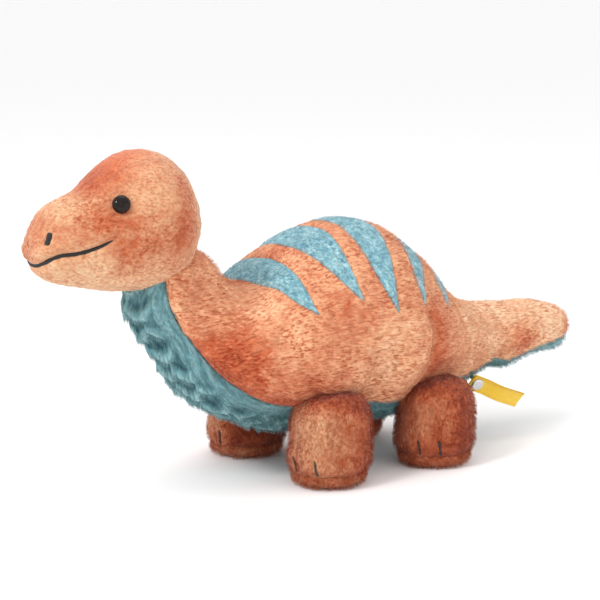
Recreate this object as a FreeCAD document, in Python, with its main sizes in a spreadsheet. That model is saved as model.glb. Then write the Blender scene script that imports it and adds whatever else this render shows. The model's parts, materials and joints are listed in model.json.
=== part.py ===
import FreeCAD, Part
import os
import Sketcher
from FreeCAD import Placement, Rotation, Vector

# A stuffed toy dinosaur: four stumpy legs, a humped back, a long neck and a thick tail.
# Frame: +Z up, the nose points to -Y, the toy's own left side is +X.
# Origin: on the ground, halfway between the tip of the nose and the tip of the tail.
# Every fabric piece is a shell of even thickness, and the stuffing fills what the shells enclose.
# Only the left half is drawn. The right half is its mirror image.

REACH = 400  # millimetres, longer than the toy in every direction
STRIPE_HEADROOM = 12  # millimetres a stripe's outline rises above the spine

# Each rib is an ellipse across the body: a point on the back (y, z), a point on the belly (y, z)
# and half the width. The list runs from the neck's top to the tip of the tail.
BODY_RIBS = {
    "collar": (-83.0, 116.6, -118.0, 100.2, 19.0),
    "throat": (-66.0, 103.0, -110.0, 74.0, 23.0),
    "neck": (-56.0, 99.0, -98.0, 56.0, 28.5),
    "shoulder": (-44.0, 104.0, -81.0, 38.0, 35.5),
    "chest": (-25.0, 116.0, -51.0, 25.0, 42.0),
    "middle": (0.0, 123.0, -15.0, 20.0, 46.5),
    "loin": (25.0, 119.0, 27.0, 20.0, 46.0),
    "hip": (45.0, 104.0, 57.0, 22.0, 39.0),
    "rump": (63.0, 86.0, 81.0, 28.0, 29.0),
    "root": (83.0, 74.0, 98.0, 34.0, 20.5),
    "tail": (105.0, 68.0, 116.0, 38.0, 15.5),
    "taper": (130.0, 66.0, 136.0, 41.0, 12.0),
    "point": (152.0, 61.0, 153.0, 43.0, 8.5),
    "end": (166.0, 54.0, 162.0, 45.0, 4.0),
}

# Upright ellipses across the head, from the nose to the nape: y, centre z, half width, half height.
HEAD_RIBS = {
    "nose": (-167.0, 122.0, 7.0, 8.0),
    "nostril": (-164.0, 123.0, 12.5, 13.5),
    "snout": (-156.0, 124.0, 16.5, 18.5),
    "lip": (-144.0, 124.5, 20.0, 22.0),
    "cheek": (-134.0, 127.0, 23.5, 26.5),
    "brow": (-124.0, 129.5, 26.5, 30.5),
    "crown": (-112.0, 131.0, 28.0, 32.5),
    "poll": (-100.0, 130.5, 26.5, 31.0),
    "occiput": (-91.0, 130.0, 21.0, 24.5),
    "nape": (-86.0, 129.5, 14.0, 16.0),
    "back": (-84.0, 129.0, 6.5, 7.5),
}

# Level ellipses up the leg: z, centre x, centre y from the hip, half width (x), half length (y).
LEG_RIBS = {
    "ankle": (3.0, 36.0, -1.0, 19.0, 19.5),
    "foot": (12.0, 36.0, -1.0, 20.5, 21.0),
    "shin": (26.0, 36.0, 0.0, 20.8, 21.2),
    "knee": (36.0, 35.5, 0.0, 19.8, 21.5),
    "thigh": (44.0, 34.0, 0.0, 17.0, 21.0),
    "top": (51.0, 31.5, 0.0, 12.5, 19.5),
}

# Where the side fabric meets the blue underside, seen from the side: (y, z) from head to tail.
SEAM_POINTS = [
    (-114.0, 116.0), (-104.0, 92.0), (-91.0, 71.5), (-79.0, 58.0), (-64.0, 48.0), (-46.0, 41.5),
    (-20.0, 40.0), (10.0, 40.0), (45.0, 38.0), (75.0, 36.5), (95.0, 39.0), (115.0, 42.0),
    (135.0, 45.0), (158.0, 47.5), (175.0, 49.0),
]

# Back stripes, seen from the side: front and rear corner on the spine, tip on the flank, and how
# far each edge bows out of straight (negative towards the head).
STRIPES = [
    (-51.0, 101.5, -38.0, 108.0, -36.0, 84.0, -3.0, -0.5),
    (-29.0, 113.5, -10.0, 121.0, -11.0, 87.5, -1.5, -2.0),
    (-1.5, 122.5, 19.5, 121.0, 7.0, 81.5, -3.5, -3.0),
    (31.0, 115.0, 43.0, 106.0, 25.5, 81.5, -4.5, -4.0),
    (49.0, 100.0, 60.0, 90.0, 44.5, 77.5, -2.0, -1.0),
]
STRIPE_FIELDS = ("front_y", "front_z", "rear_y", "rear_z", "tip_y", "tip_z", "front_bow", "rear_bow")

# The mouth seen from the side: (y, z) from the front of the snout to its corner on the cheek.
MOUTH_POINTS = [
    (-172.0, 113.5), (-166.5, 115.8), (-163.5, 119.4), (-157.0, 120.6), (-150.0, 121.6),
    (-143.0, 123.8), (-136.0, 127.2),
]

# Toe stitches on a left foot, in degrees outward from straight ahead.
FRONT_TOES = (-8, 33)
REAR_TOES = (28, 60)

SIZES = {
    "fabric": (2.5, "thickness of the pile fabric"),
    "play": (0.3, "air between the fabric and the stuffing"),
    "clearance": (0.8, "room between parts that move against each other"),
    "fit": (0.05, "room round a stem or a post"),
    "yaw_y": (-106.0, "centre of the neck's rounded end"),
    "yaw_z": (120.0, "centre of the neck's rounded end"),
    "yaw_tilt": (25.0, "lean of the neck's axis towards the nose, degrees"),
    "peg_radius": (16.0, "rounded end of the neck, inside the head"),
    "collar_depth": (12.0, "from the peg's centre down to the head's opening"),
    "collar_radius": (27.0, "opening under the head"),
    "neck_y": (-80.0, "bend at the foot of the neck"),
    "neck_z": (82.0, "bend at the foot of the neck"),
    "neck_slope": (45.0, "direction of the neck there, degrees above level"),
    "neck_radius": (30.5, "round end of the neck inside the shoulders"),
    "wag_y": (92.0, "upright axis at the tail's root"),
    "wag_radius": (22.5, "round end of the tail inside the rump"),
    "lift_y": (120.0, "bend halfway along the tail"),
    "lift_z": (52.5, "bend halfway along the tail"),
    "lift_radius": (15.5, "round end of the tail tip"),
    "hip_front_y": (-25.0, "front hips"),
    "hip_rear_y": (41.0, "rear hips"),
    "hip_z": (28.0, "height of the hips"),
    "hip_radius": (21.5, "round top of a leg, seen from the side"),
    "hip_inner_x": (15.2, "inner face of a leg"),
    "hip_sweep": (17.0, "half the angle of the hollow a leg swings in, degrees"),
    "sole_thickness": (3.0, "foot pad"),
    "sole_width": (19.6, "half width of a foot pad"),
    "sole_length": (20.1, "half length of a foot pad"),
    "sole_round": (1.2, "rounded lower edge of a foot pad"),
    "thread_proud": (0.7, "how far satin stitching stands above the fabric"),
    "thread_sunk": (1.0, "how far satin stitching is sunk in the fabric"),
    "toe_width": (1.8, "width of a toe stitch"),
    "toe_low": (7.0, "lower end of a toe stitch"),
    "toe_tall": (8.0, "height of a toe stitch"),
    "mouth_width": (2.0, "width of the mouth's stitching"),
    "gusset_width": (9.0, "half the width of the strip over the head"),
    "gusset_z": (127.0, "height where the strip and the chin panel meet at the nose"),
    "chin_width": (9.0, "half the width of the chin panel"),
    "nostril_x": (10.9, "centre of a nostril"),
    "nostril_y": (-164.4, "centre of a nostril"),
    "nostril_z": (128.2, "centre of a nostril"),
    "nostril_yaw": (50.0, "a nostril looks this far forward of sideways, degrees"),
    "nostril_tall": (3.1, "half the height of a nostril"),
    "nostril_wide": (1.8, "half the width of a nostril"),
    "eye_x": (20.6, "seat of an eye"),
    "eye_y": (-132.0, "seat of an eye"),
    "eye_z": (142.5, "seat of an eye"),
    "eye_yaw": (28.0, "an eye looks this far forward of sideways, degrees"),
    "eye_pitch": (25.0, "an eye looks this far up, degrees"),
    "eye_radius": (4.2, "dome of an eye"),
    "eye_dome": (3.4, "height of the dome"),
    "eye_round": (2.8, "rounded edge of the dome"),
    "eye_sunk": (1.0, "how far the dome sits in the pile"),
    "stem_radius": (1.5, "stem of an eye"),
    "stem_length": (9.0, "stem of an eye"),
    "washer_radius": (6.0, "washer inside the head"),
    "washer_thick": (1.6, "washer inside the head"),
    "washer_depth": (3.6, "from the seat down to the washer"),
    "tag_x": (13.6, "where the ribbon is riveted on"),
    "tag_y": (85.5, "where the ribbon is riveted on"),
    "tag_z": (33.6, "where the ribbon is riveted on"),
    "tag_yaw": (15.0, "the rivet looks this far forward of sideways, degrees"),
    "tag_pitch": (25.0, "the rivet looks this far down, degrees"),
    "tag_droop": (26.0, "the ribbon hangs this far below level, degrees"),
    "tag_stand": (5.1, "from the rivet's seat out to the ribbon"),
    "tag_width": (9.0, "ribbon"),
    "tag_length": (36.0, "ribbon"),
    "tag_thick": (1.0, "ribbon, folded double"),
    "tag_edge": (4.1, "from the ribbon's end to the rivet"),
    "rivet_radius": (3.4, "rivet cap"),
    "rivet_cap": (1.2, "rivet cap"),
    "rivet_post": (1.2, "radius of the rivet's post"),
    "rivet_depth": (5.5, "from the rivet's seat in to its backing disc"),
    "rivet_disc": (1.0, "backing disc"),
}

NO_TURN = "rotation(vector(0;0;1); 0)"
TURN_TO_X = "rotation(vector(0;1;0); 90)"
LENGTHWISE = "rotation(vector(0;0;1); 90)"
DOWN_THE_NECK = "rotation(vector(1;0;0); 180+sizes.yaw_tilt)"
NECK_END = "0; sizes.yaw_y; sizes.yaw_z"
EYE_SEAT = "sizes.eye_x; sizes.eye_y; sizes.eye_z"
ACROSS = "-%d; 0; -%d" % (REACH // 2, REACH // 2)

doc = FreeCAD.newDocument("stuffed_dinosaur")
sizes = doc.addObject("Spreadsheet::Sheet", "sizes")


# ---------------------------------------------------------------- spreadsheet

def fill_sheet():
    """Every driving dimension gets a row: its name, its value and what it is."""
    rows = dict(SIZES)
    for name, rib in BODY_RIBS.items():
        for field, value in zip(("back_y", "back_z", "belly_y", "belly_z", "half"), rib):
            rows["body_%s_%s" % (name, field)] = (value, "body rib")
    for name, rib in HEAD_RIBS.items():
        for field, value in zip(("y", "z", "wide", "tall"), rib):
            rows["head_%s_%s" % (name, field)] = (value, "head rib")
    for name, rib in LEG_RIBS.items():
        for field, value in zip(("z", "x", "shift", "wide", "long"), rib):
            rows["leg_%s_%s" % (name, field)] = (value, "leg rib")
    for number, stripe in enumerate(STRIPES, 1):
        for field, value in zip(STRIPE_FIELDS, stripe):
            rows["stripe%d_%s" % (number, field)] = (value, "back stripe")
    for row, (alias, (value, note)) in enumerate(rows.items(), 1):
        sizes.set("A%d" % row, alias)
        sizes.set("B%d" % row, str(value))
        sizes.set("C%d" % row, note)
        sizes.setAlias("B%d" % row, alias)
    doc.recompute()


def size(alias):
    return float(sizes.get(alias))


# ---------------------------------------------------------------- small helpers

def add(kind, name, **bound):
    """A new object whose properties are bound to the spreadsheet."""
    thing = doc.addObject(kind, name)
    for prop, expression in bound.items():
        thing.setExpression(prop, expression)
    return thing


def place(thing, base, turn=NO_TURN):
    """Put a thing at base, turned."""
    thing.setExpression("Placement", "placement(vector(%s); %s)" % (base, turn))
    return thing


def cut(name, base, *tools):
    result = doc.addObject("Part::Cut", name)
    result.Base = base
    result.Tool = tools[0] if len(tools) == 1 else fuse(name + "_tools", *tools)
    return result


def common(name, base, tool):
    result = doc.addObject("Part::Common", name)
    result.Base = base
    result.Tool = tool
    return result


def fuse(name, *shapes):
    result = doc.addObject("Part::MultiFuse", name)
    result.Shapes = list(shapes)
    return result


def loft(name, rings):
    result = doc.addObject("Part::Loft", name)
    result.Sections = rings
    result.Solid = True
    result.Ruled = False
    return result


def thicken(name, ring, thickness):
    """A flat outline made solid, half of its thickness on each side."""
    result = add("Part::Extrusion", name, LengthFwd=thickness)
    result.Base = ring
    result.DirMode = "Normal"
    result.Symmetric = True
    result.Solid = True
    return result


def mirror(source, name):
    """The same piece on the toy's other side."""
    result = doc.addObject("Part::Mirroring", name)
    result.Source = source
    result.Normal = Vector(1, 0, 0)
    return result


def side_prism(name, edges):
    """A closed outline in the side view, drawn as (y, z) curves, taken right across the toy."""
    face = Part.Face(Part.Wire(Part.__sortEdges__(edges)))
    prism = doc.addObject("Part::Feature", name)
    prism.Shape = face.extrude(Vector(REACH, 0, 0))
    prism.Placement = Placement(Vector(-REACH / 2, 0, 0), Rotation())
    return prism


def side_point(y, z):
    return Vector(0, y, z)


def smooth_edge(points):
    curve = Part.BSplineCurve()
    curve.interpolate([side_point(y, z) for y, z in points])
    return curve.toShape()


def straight_edge(start, end):
    return Part.makeLine(side_point(*start), side_point(*end))


def nested(base, turn, offset):
    """A placement at base, turned, and then shifted by offset in its own turned axes."""
    return "placement(vector(%s); %s) * placement(vector(%s); %s)" % (base, turn, offset, NO_TURN)


def block(name, base, turn, offset, **bound):
    """A box whose corner is at offset in a frame that is turned about base."""
    sides = {side: str(REACH) for side in ("Length", "Width", "Height")}
    sides.update(bound)
    box = add("Part::Box", name, **sides)
    box.setExpression("Placement", nested(base, turn, offset))
    return box


def level_cylinder(name, y, z, radius):
    """A cylinder about a level axis that runs right across the toy."""
    rod = add("Part::Cylinder", name, Radius=radius, Height=str(REACH))
    return place(rod, "-%d; %s; %s" % (REACH // 2, y, z), TURN_TO_X)


# ---------------------------------------------------------------- rounded forms

def body_ring(name, rib, grow, slide="0"):
    """One rib of the body. It grows evenly, and can slide along the body's own direction."""
    key = "sizes.body_" + rib
    height = "sqrt(pow({0}_back_y-{0}_belly_y;2)+pow({0}_back_z-{0}_belly_z;2))/2+({1})"
    lean = "atan2({0}_belly_y-{0}_back_y; {0}_back_z-{0}_belly_z)".format(key)
    middle = "0; ({0}_back_y+{0}_belly_y)/2+({1})*cos({2}); ({0}_back_z+{0}_belly_z)/2+({1})*sin({2})"
    turn = "rotation(vector(1;0;0); %s) * rotation(vector(1;1;1); 240)" % lean
    ring = add("Part::Ellipse", name, MajorRadius=height.format(key, grow),
               MinorRadius="%s_half+(%s)" % (key, grow))
    return place(ring, middle.format(key, slide, lean), turn)


def neck_peg(name, grow, reach):
    """The rounded upright end of the neck, which the head is pushed over."""
    stick = add("Part::Cylinder", name + "_stick", Radius="sizes.peg_radius+(%s)" % grow, Height=reach)
    ball = add("Part::Sphere", name + "_ball", Radius="sizes.peg_radius+(%s)" % grow)
    place(stick, NECK_END, DOWN_THE_NECK)
    place(ball, NECK_END, DOWN_THE_NECK)
    return stick, ball


def body_form(name, grow):
    """Neck, trunk and tail in one closed form."""
    rings = []
    ends = {"collar": "-(%s)" % grow, "end": grow}
    for rib in BODY_RIBS:
        rings.append(body_ring("%s_%s" % (name, rib), rib, grow, ends.get(rib, "0")))
    stick, ball = neck_peg(name + "_peg", grow, "sizes.collar_depth+8")
    return fuse(name, loft(name + "_loft", rings), stick, ball)


def head_form(name, grow):
    first, last = list(HEAD_RIBS)[0], list(HEAD_RIBS)[-1]
    middle = "(sizes.head_%s_y+sizes.head_%s_y)/2" % (first, last)
    half = "((sizes.head_%s_y-sizes.head_%s_y)/2)" % (last, first)
    rings = []
    for rib in HEAD_RIBS:
        key = "sizes.head_" + rib
        along = "%s+(%s_y-%s)*(1+(%s)/%s)" % (middle, key, middle, grow, half)
        ring = add("Part::Ellipse", "%s_%s" % (name, rib), MajorRadius="%s_tall+(%s)" % (key, grow),
                   MinorRadius="%s_wide+(%s)" % (key, grow))
        place(ring, "0; %s; %s_z" % (along, key), "rotation(vector(1;1;1); 240)")
        rings.append(ring)
    return loft(name, rings)


def leg_form(name, hip_y, grow, crown):
    """A leg, rounded over its top about the hip's axis. crown is how far the top grows."""
    rings = []
    for rib in LEG_RIBS:
        key = "sizes.leg_" + rib
        lift = crown if rib == "top" else "0"
        ring = add("Part::Ellipse", "%s_%s" % (name, rib), MajorRadius="%s_long+(%s)" % (key, grow),
                   MinorRadius="%s_wide+(%s)" % (key, grow))
        place(ring, "{0}_x; {1}+{0}_shift; {0}_z+({2})".format(key, hip_y, lift), LENGTHWISE)
        rings.append(ring)
    barrel = level_cylinder(name + "_barrel", hip_y, "sizes.hip_z", "sizes.hip_radius+(%s)" % grow)
    column = block(name + "_column", "0; %s-sizes.hip_radius-(%s); 0" % (hip_y, grow), NO_TURN, "0; 0; 0",
                   Width="2*(sizes.hip_radius+(%s))" % grow, Height="sizes.hip_z")
    return common(name, loft(name + "_loft", rings), fuse(name + "_outline", barrel, column))


# ---------------------------------------------------------------- where the body bends

def beyond(name, y, z, turn):
    """Everything beyond an upright or leaning plane across the toy."""
    return block(name, "0; %s; %s" % (y, z), turn, ACROSS)


def neck_zone(name, gap):
    """What nods with the neck: all ahead of the bend, and a round end about the bend's axis."""
    across_neck = "rotation(vector(1;0;0); 180-sizes.neck_slope)"
    ahead = beyond(name + "_ahead", "sizes.neck_y", "sizes.neck_z", across_neck)
    barrel = level_cylinder(name + "_barrel", "sizes.neck_y", "sizes.neck_z", "sizes.neck_radius+" + gap)
    return fuse(name, ahead, barrel)


def tail_zone(name, gap):
    """What wags: all behind the tail's root, and a round end about the upright axis."""
    behind = beyond(name + "_behind", "sizes.wag_y", "0", NO_TURN)
    barrel = add("Part::Cylinder", name + "_barrel", Radius="sizes.wag_radius+" + gap, Height=str(REACH))
    place(barrel, "0; sizes.wag_y; -%d" % (REACH // 2))
    return fuse(name, behind, barrel)


def tip_zone(name, gap):
    """What lifts: the outer half of the tail, and a round end about its level axis."""
    behind = beyond(name + "_behind", "sizes.lift_y", "sizes.lift_z", NO_TURN)
    barrel = level_cylinder(name + "_barrel", "sizes.lift_y", "sizes.lift_z", "sizes.lift_radius+" + gap)
    return fuse(name, behind, barrel)


def hip_pocket(name, hip_y):
    """The hollow a leg's round top turns in, widening downwards so that the leg can swing."""
    radius = "(sizes.hip_radius+sizes.clearance)"
    depth = "sizes.hip_z"
    low = "%s/cos(sizes.hip_sweep)+%s*tan(sizes.hip_sweep)" % (radius, depth)
    high = "%s*cos(sizes.hip_sweep)" % radius
    barrel = add("Part::Cylinder", name + "_barrel", Radius=radius, Height=str(REACH))
    place(barrel, "sizes.hip_inner_x-sizes.clearance; %s; sizes.hip_z" % hip_y, TURN_TO_X)
    sweep = add("Part::Wedge", name + "_sweep", Xmin="-(%s)" % low, Xmax=low, X2min="-" + high, X2max=high,
                Ymin="-" + depth, Ymax="%s*sin(sizes.hip_sweep)" % radius,
                Zmin="0", Zmax=str(REACH), Z2min="0", Z2max=str(REACH))
    place(sweep, "sizes.hip_inner_x-sizes.clearance; %s; sizes.hip_z" % hip_y, "rotation(vector(1;1;1); 120)")
    return fuse(name, barrel, sweep)


# ---------------------------------------------------------------- outlines in the side view

def below_seam():
    """All that lies in front of and below the seam between the side fabric and the underside."""
    first, last = SEAM_POINTS[0], SEAM_POINTS[-1]
    corners = [last, (last[0], -REACH / 2), (-REACH / 2, -REACH / 2), (-REACH / 2, first[1]), first]
    edges = [smooth_edge(SEAM_POINTS)]
    edges += [straight_edge(start, end) for start, end in zip(corners, corners[1:])]
    return side_prism("below_seam", edges)


def stripe_wedge(number):
    """A tapered stripe: two bowed edges from the spine to the tip, open above the spine."""
    front_y, front_z, rear_y, rear_z, tip_y, tip_z, front_bow, rear_bow = [
        size("stripe%d_%s" % (number, field)) for field in STRIPE_FIELDS]
    front, rear, tip = side_point(front_y, front_z), side_point(rear_y, rear_z), side_point(tip_y, tip_z)
    along = (rear - front).normalize()
    above = Vector(0, -along.z, along.y) * STRIPE_HEADROOM
    edges = [
        Part.Arc(tip, (tip + front) / 2 + Vector(0, front_bow, 0), front).toShape(),
        Part.makeLine(front, front + above),
        Part.makeLine(front + above, rear + above),
        Part.makeLine(rear + above, rear),
        Part.Arc(rear, (tip + rear) / 2 + Vector(0, rear_bow, 0), tip).toShape(),
    ]
    return side_prism("stripe_wedge_%d" % number, edges)


def mouth_band():
    """A band as wide as the mouth's stitching along the mouth's line."""
    half = size("mouth_width") / 2
    upper = [(y, z + half) for y, z in MOUTH_POINTS]
    lower = [(y, z - half) for y, z in MOUTH_POINTS]
    edges = [smooth_edge(upper), smooth_edge(lower),
             straight_edge(upper[0], lower[0]), straight_edge(upper[-1], lower[-1])]
    return side_prism("mouth_band", edges)


# ---------------------------------------------------------------- hardware

def plane_of(body, role):
    return next(feature for feature in body.Origin.OriginFeatures if feature.Role == role)


def new_sketch(body, name):
    sketch = body.newObject("Sketcher::SketchObject", name)
    sketch.AttachmentSupport = (plane_of(body, "XY_Plane"), [""])
    sketch.MapMode = "FlatFace"
    return sketch


def add_circle(sketch, radius):
    """A circle about the sketch's origin, its radius bound to the sheet."""
    index = sketch.addGeometry(Part.Circle(Vector(), Vector(0, 0, 1), 1), False)
    sketch.addConstraint(Sketcher.Constraint("Coincident", index, 3, -1, 1))
    bind_constraint(sketch, Sketcher.Constraint("Radius", index, 1), radius)


def bind_constraint(sketch, constraint, expression):
    index = sketch.addConstraint(constraint)
    sketch.setExpression("Constraints[%d]" % index, expression)


def add_disc(body, name, radius, height, downwards=False):
    sketch = new_sketch(body, name + "_sketch")
    add_circle(sketch, radius)
    pad = body.newObject("PartDesign::Pad", name)
    pad.Profile = sketch
    pad.Reversed = downwards
    pad.setExpression("Length", height)
    return pad


def round_top(body, feature, radius):
    """Round the highest edge of a disc."""
    doc.recompute()
    heights = [edge.BoundBox.ZMin for edge in feature.Shape.Edges]
    fillet = body.newObject("PartDesign::Fillet", feature.Name + "_round")
    fillet.Base = (feature, ["Edge%d" % (heights.index(max(heights)) + 1)])
    fillet.setExpression("Radius", radius)
    return fillet


def outward(yaw, pitch):
    """Turns +Z to look sideways, then yaw degrees forward and pitch degrees up."""
    return "rotation(vector(0;0;1); -(%s)) * rotation(vector(0;1;0); 90-(%s))" % (yaw, pitch)


def eye(name):
    """A domed eye with its stem."""
    body = doc.addObject("PartDesign::Body", name)
    add_disc(body, name + "_stem", "sizes.stem_radius", "sizes.stem_length", downwards=True)
    dome = add_disc(body, name + "_dome", "sizes.eye_radius", "sizes.eye_dome")
    round_top(body, dome, "sizes.eye_round")
    turn = outward("sizes.eye_yaw", "sizes.eye_pitch")
    body.setExpression("Placement", nested(EYE_SEAT, turn, "0; 0; -sizes.eye_sunk"))
    return body


def eye_washer(name):
    """The washer pushed onto an eye's stem behind the fabric."""
    body = doc.addObject("PartDesign::Body", name)
    sketch = new_sketch(body, name + "_sketch")
    add_circle(sketch, "sizes.washer_radius")
    add_circle(sketch, "sizes.stem_radius+sizes.fit")
    pad = body.newObject("PartDesign::Pad", name + "_pad")
    pad.Profile = sketch
    pad.setExpression("Length", "sizes.washer_thick")
    turn = outward("sizes.eye_yaw", "sizes.eye_pitch")
    offset = "0; 0; -sizes.washer_depth-sizes.washer_thick"
    body.setExpression("Placement", nested(EYE_SEAT, turn, offset))
    return body


def at_rivet(thing, offset, spin="0"):
    """Put a piece on the rivet's axis, spun about it."""
    turn = outward("sizes.tag_yaw", "-sizes.tag_pitch") + " * rotation(vector(0;0;1); %s)" % spin
    thing.setExpression("Placement", nested("sizes.tag_x; sizes.tag_y; sizes.tag_z", turn, offset))
    return thing


def tag_ribbon(name):
    """A short folded ribbon with a hole for its rivet."""
    body = doc.addObject("PartDesign::Body", name)
    sketch = new_sketch(body, name + "_sketch")
    corners = [(0, -1), (1, -1), (1, 1), (0, 1)]
    lines = []
    for start, end in zip(corners, corners[1:] + corners[:1]):
        lines.append(sketch.addGeometry(Part.LineSegment(Vector(*start, 0), Vector(*end, 0)), False))
    for line, following in zip(lines, lines[1:] + lines[:1]):
        sketch.addConstraint(Sketcher.Constraint("Coincident", line, 2, following, 1))
    bottom, free_end, top, riveted_end = lines
    sketch.addConstraint(Sketcher.Constraint("Horizontal", bottom))
    sketch.addConstraint(Sketcher.Constraint("Horizontal", top))
    sketch.addConstraint(Sketcher.Constraint("Vertical", riveted_end))
    sketch.addConstraint(Sketcher.Constraint("Symmetric", free_end, 1, free_end, 2, -1))
    add_circle(sketch, "sizes.rivet_post+sizes.clearance/4")
    bind_constraint(sketch, Sketcher.Constraint("DistanceX", bottom, 1, bottom, 2, 1), "sizes.tag_length")
    bind_constraint(sketch, Sketcher.Constraint("DistanceY", free_end, 1, free_end, 2, 1), "sizes.tag_width")
    bind_constraint(sketch, Sketcher.Constraint("DistanceX", bottom, 1, -1, 1, 1), "sizes.tag_edge")
    pad = body.newObject("PartDesign::Pad", name + "_pad")
    pad.Profile = sketch
    pad.setExpression("Length", "sizes.tag_thick")
    return at_rivet(body, "0; 0; sizes.tag_stand", "90-sizes.tag_droop")


def rivet_cap(name):
    """The visible head of the rivet."""
    body = doc.addObject("PartDesign::Body", name)
    cap = add_disc(body, name + "_disc", "sizes.rivet_radius", "sizes.rivet_cap")
    round_top(body, cap, "sizes.rivet_cap*2/3")
    return at_rivet(body, "0; 0; sizes.tag_stand+sizes.tag_thick+sizes.clearance/4")


def rivet_post(name):
    """The post that holds the cap, and its backing disc inside the fabric."""
    body = doc.addObject("PartDesign::Body", name)
    add_disc(body, name + "_disc", "sizes.rivet_radius", "sizes.rivet_disc")
    length = "sizes.rivet_depth+sizes.tag_stand+sizes.tag_thick+sizes.clearance/4"
    add_disc(body, name + "_stick", "sizes.rivet_post", length)
    return at_rivet(body, "0; 0; -sizes.rivet_depth")


# ---------------------------------------------------------------- assemblies

def build_body(left):
    """Panels, stripes and stuffing of the neck, the trunk and the two halves of the tail."""
    outer = body_form("body_outer", "0")
    cavity = body_form("body_cavity", "-sizes.fabric")
    fill = body_form("body_fill", "-sizes.fabric-sizes.play")
    shell = cut("body_shell", outer, cavity)
    seam = below_seam()
    side = common("body_side", cut("body_upper", shell, seam), left)
    under = common("body_under", shell, seam)

    neck, neck_gap = neck_zone("neck_zone", "0"), neck_zone("neck_gap", "sizes.clearance")
    wag, wag_gap = tail_zone("wag_zone", "0"), tail_zone("wag_gap", "sizes.clearance")
    lift, lift_gap = tip_zone("lift_zone", "0"), tip_zone("lift_gap", "sizes.clearance")
    pockets = [hip_pocket("pocket_" + end, "sizes.hip_%s_y" % end) for end in ("front", "rear")]
    pockets += [mirror(pocket, pocket.Name + "_mirror") for pocket in pockets]

    ribbon, cap, post = tag_ribbon("tag_ribbon"), rivet_cap("rivet_cap"), rivet_post("rivet_post")
    pieces = [ribbon, cap, post]

    trunk_side = cut("trunk_side", side, neck_gap, wag_gap, *pockets[:2])
    wedges = [stripe_wedge(number) for number in range(1, len(STRIPES) + 1)]
    sides = [cut("flank_panel_left", trunk_side, *wedges)]
    for number, wedge in enumerate(wedges, 1):
        sides.append(common("back_stripe_%d_left" % number, trunk_side, wedge))
    sides.append(common("neck_panel_left", side, neck))
    sides.append(cut("tail_base_panel_left", common("tail_base_side", side, wag), lift_gap))
    sides.append(common("tail_tip_panel_left", side, lift))
    pieces += sides
    pieces += [mirror(piece, piece.Name.replace("left", "right")) for piece in sides]

    pieces.append(cut("belly_panel", under, neck_gap, wag_gap, *pockets))
    pieces.append(common("bib_panel", under, neck))
    pieces.append(cut("tail_base_underside", common("tail_base_under", under, wag), lift_gap, post))
    pieces.append(common("tail_tip_underside", under, lift))

    pieces.append(cut("trunk_stuffing", fill, neck_gap, wag_gap, *pockets))
    pieces.append(common("neck_stuffing", fill, neck))
    pieces.append(cut("tail_base_stuffing", common("tail_base_fill", fill, wag), lift_gap, post))
    pieces.append(common("tail_tip_stuffing", fill, lift))
    return pieces


def head_pocket():
    """The hollow in the head that the neck's rounded end turns in."""
    stick, ball = neck_peg("head_pocket_peg", "sizes.clearance", "sizes.collar_depth+8")
    opening = add("Part::Cylinder", "head_opening", Radius="sizes.collar_radius", Height=str(REACH))
    opening.setExpression("Placement", nested(NECK_END, DOWN_THE_NECK, "0; 0; sizes.collar_depth"))
    return [stick, ball, opening]


def nostril_stitch(name, thread):
    oval = add("Part::Ellipse", name + "_oval", MajorRadius="sizes.nostril_tall",
               MinorRadius="sizes.nostril_wide")
    turn = outward("sizes.nostril_yaw", "0")
    place(oval, "sizes.nostril_x; sizes.nostril_y; sizes.nostril_z", turn)
    return common(name, thread, thicken(name + "_rod", oval, "4*sizes.fabric"))


def build_head(left):
    """Panels, stitched features, eyes and stuffing of the head."""
    outer = head_form("head_outer", "0")
    cavity = head_form("head_cavity", "-sizes.fabric")
    fill = head_form("head_fill", "-sizes.fabric-sizes.play")
    thread = cut("head_thread", head_form("head_proud", "sizes.thread_proud"),
                 head_form("head_sunk", "-sizes.thread_sunk"))
    pocket = head_pocket()

    nostril = nostril_stitch("nostril_stitch_left", thread)
    left_pieces = [eye("eye_left"), eye_washer("eye_washer_left"), nostril]
    right_pieces = [mirror(piece, piece.Name.replace("left", "right")) for piece in left_pieces]
    eyes = [left_pieces[0], right_pieces[0]]
    washers = [left_pieces[1], right_pieces[1]]
    nostrils = [left_pieces[2], right_pieces[2]]
    mouth = common("mouth_stitch", thread, mouth_band())

    skin = cut("head_skin", outer, cavity, *pocket, *eyes, *nostrils, mouth)
    over = block("over_gusset", "-sizes.gusset_width; 0; sizes.gusset_z", NO_TURN, "0; -%d; 0" % REACH,
                 Length="2*sizes.gusset_width", Width=str(2 * REACH))
    under = block("over_chin", "-sizes.chin_width; sizes.yaw_y; sizes.gusset_z", NO_TURN,
                  "0; -%d; -%d" % (REACH, REACH), Length="2*sizes.chin_width")
    side = cut("head_side_left", common("head_half", skin, left), over, under)
    pieces = left_pieces + right_pieces + [mouth, side, mirror(side, "head_side_right")]
    pieces.append(common("head_gusset", skin, over))
    pieces.append(common("chin_panel", skin, under))
    pieces.append(cut("head_stuffing", fill, *pocket, *eyes, *washers))
    return pieces


def sole_pad(name, hip_y):
    ring = add("Part::Ellipse", name + "_oval", MajorRadius="sizes.sole_length",
               MinorRadius="sizes.sole_width")
    place(ring, "sizes.leg_ankle_x; %s+sizes.leg_ankle_shift; sizes.sole_thickness/2" % hip_y, LENGTHWISE)
    slab = thicken(name + "_slab", ring, "sizes.sole_thickness")
    doc.recompute()
    heights = [edge.BoundBox.ZMax for edge in slab.Shape.Edges]
    radius = size("sole_round")
    pad = doc.addObject("Part::Fillet", name)
    pad.Base = slab
    pad.Edges = [(heights.index(min(heights)) + 1, radius, radius)]
    return pad


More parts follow.
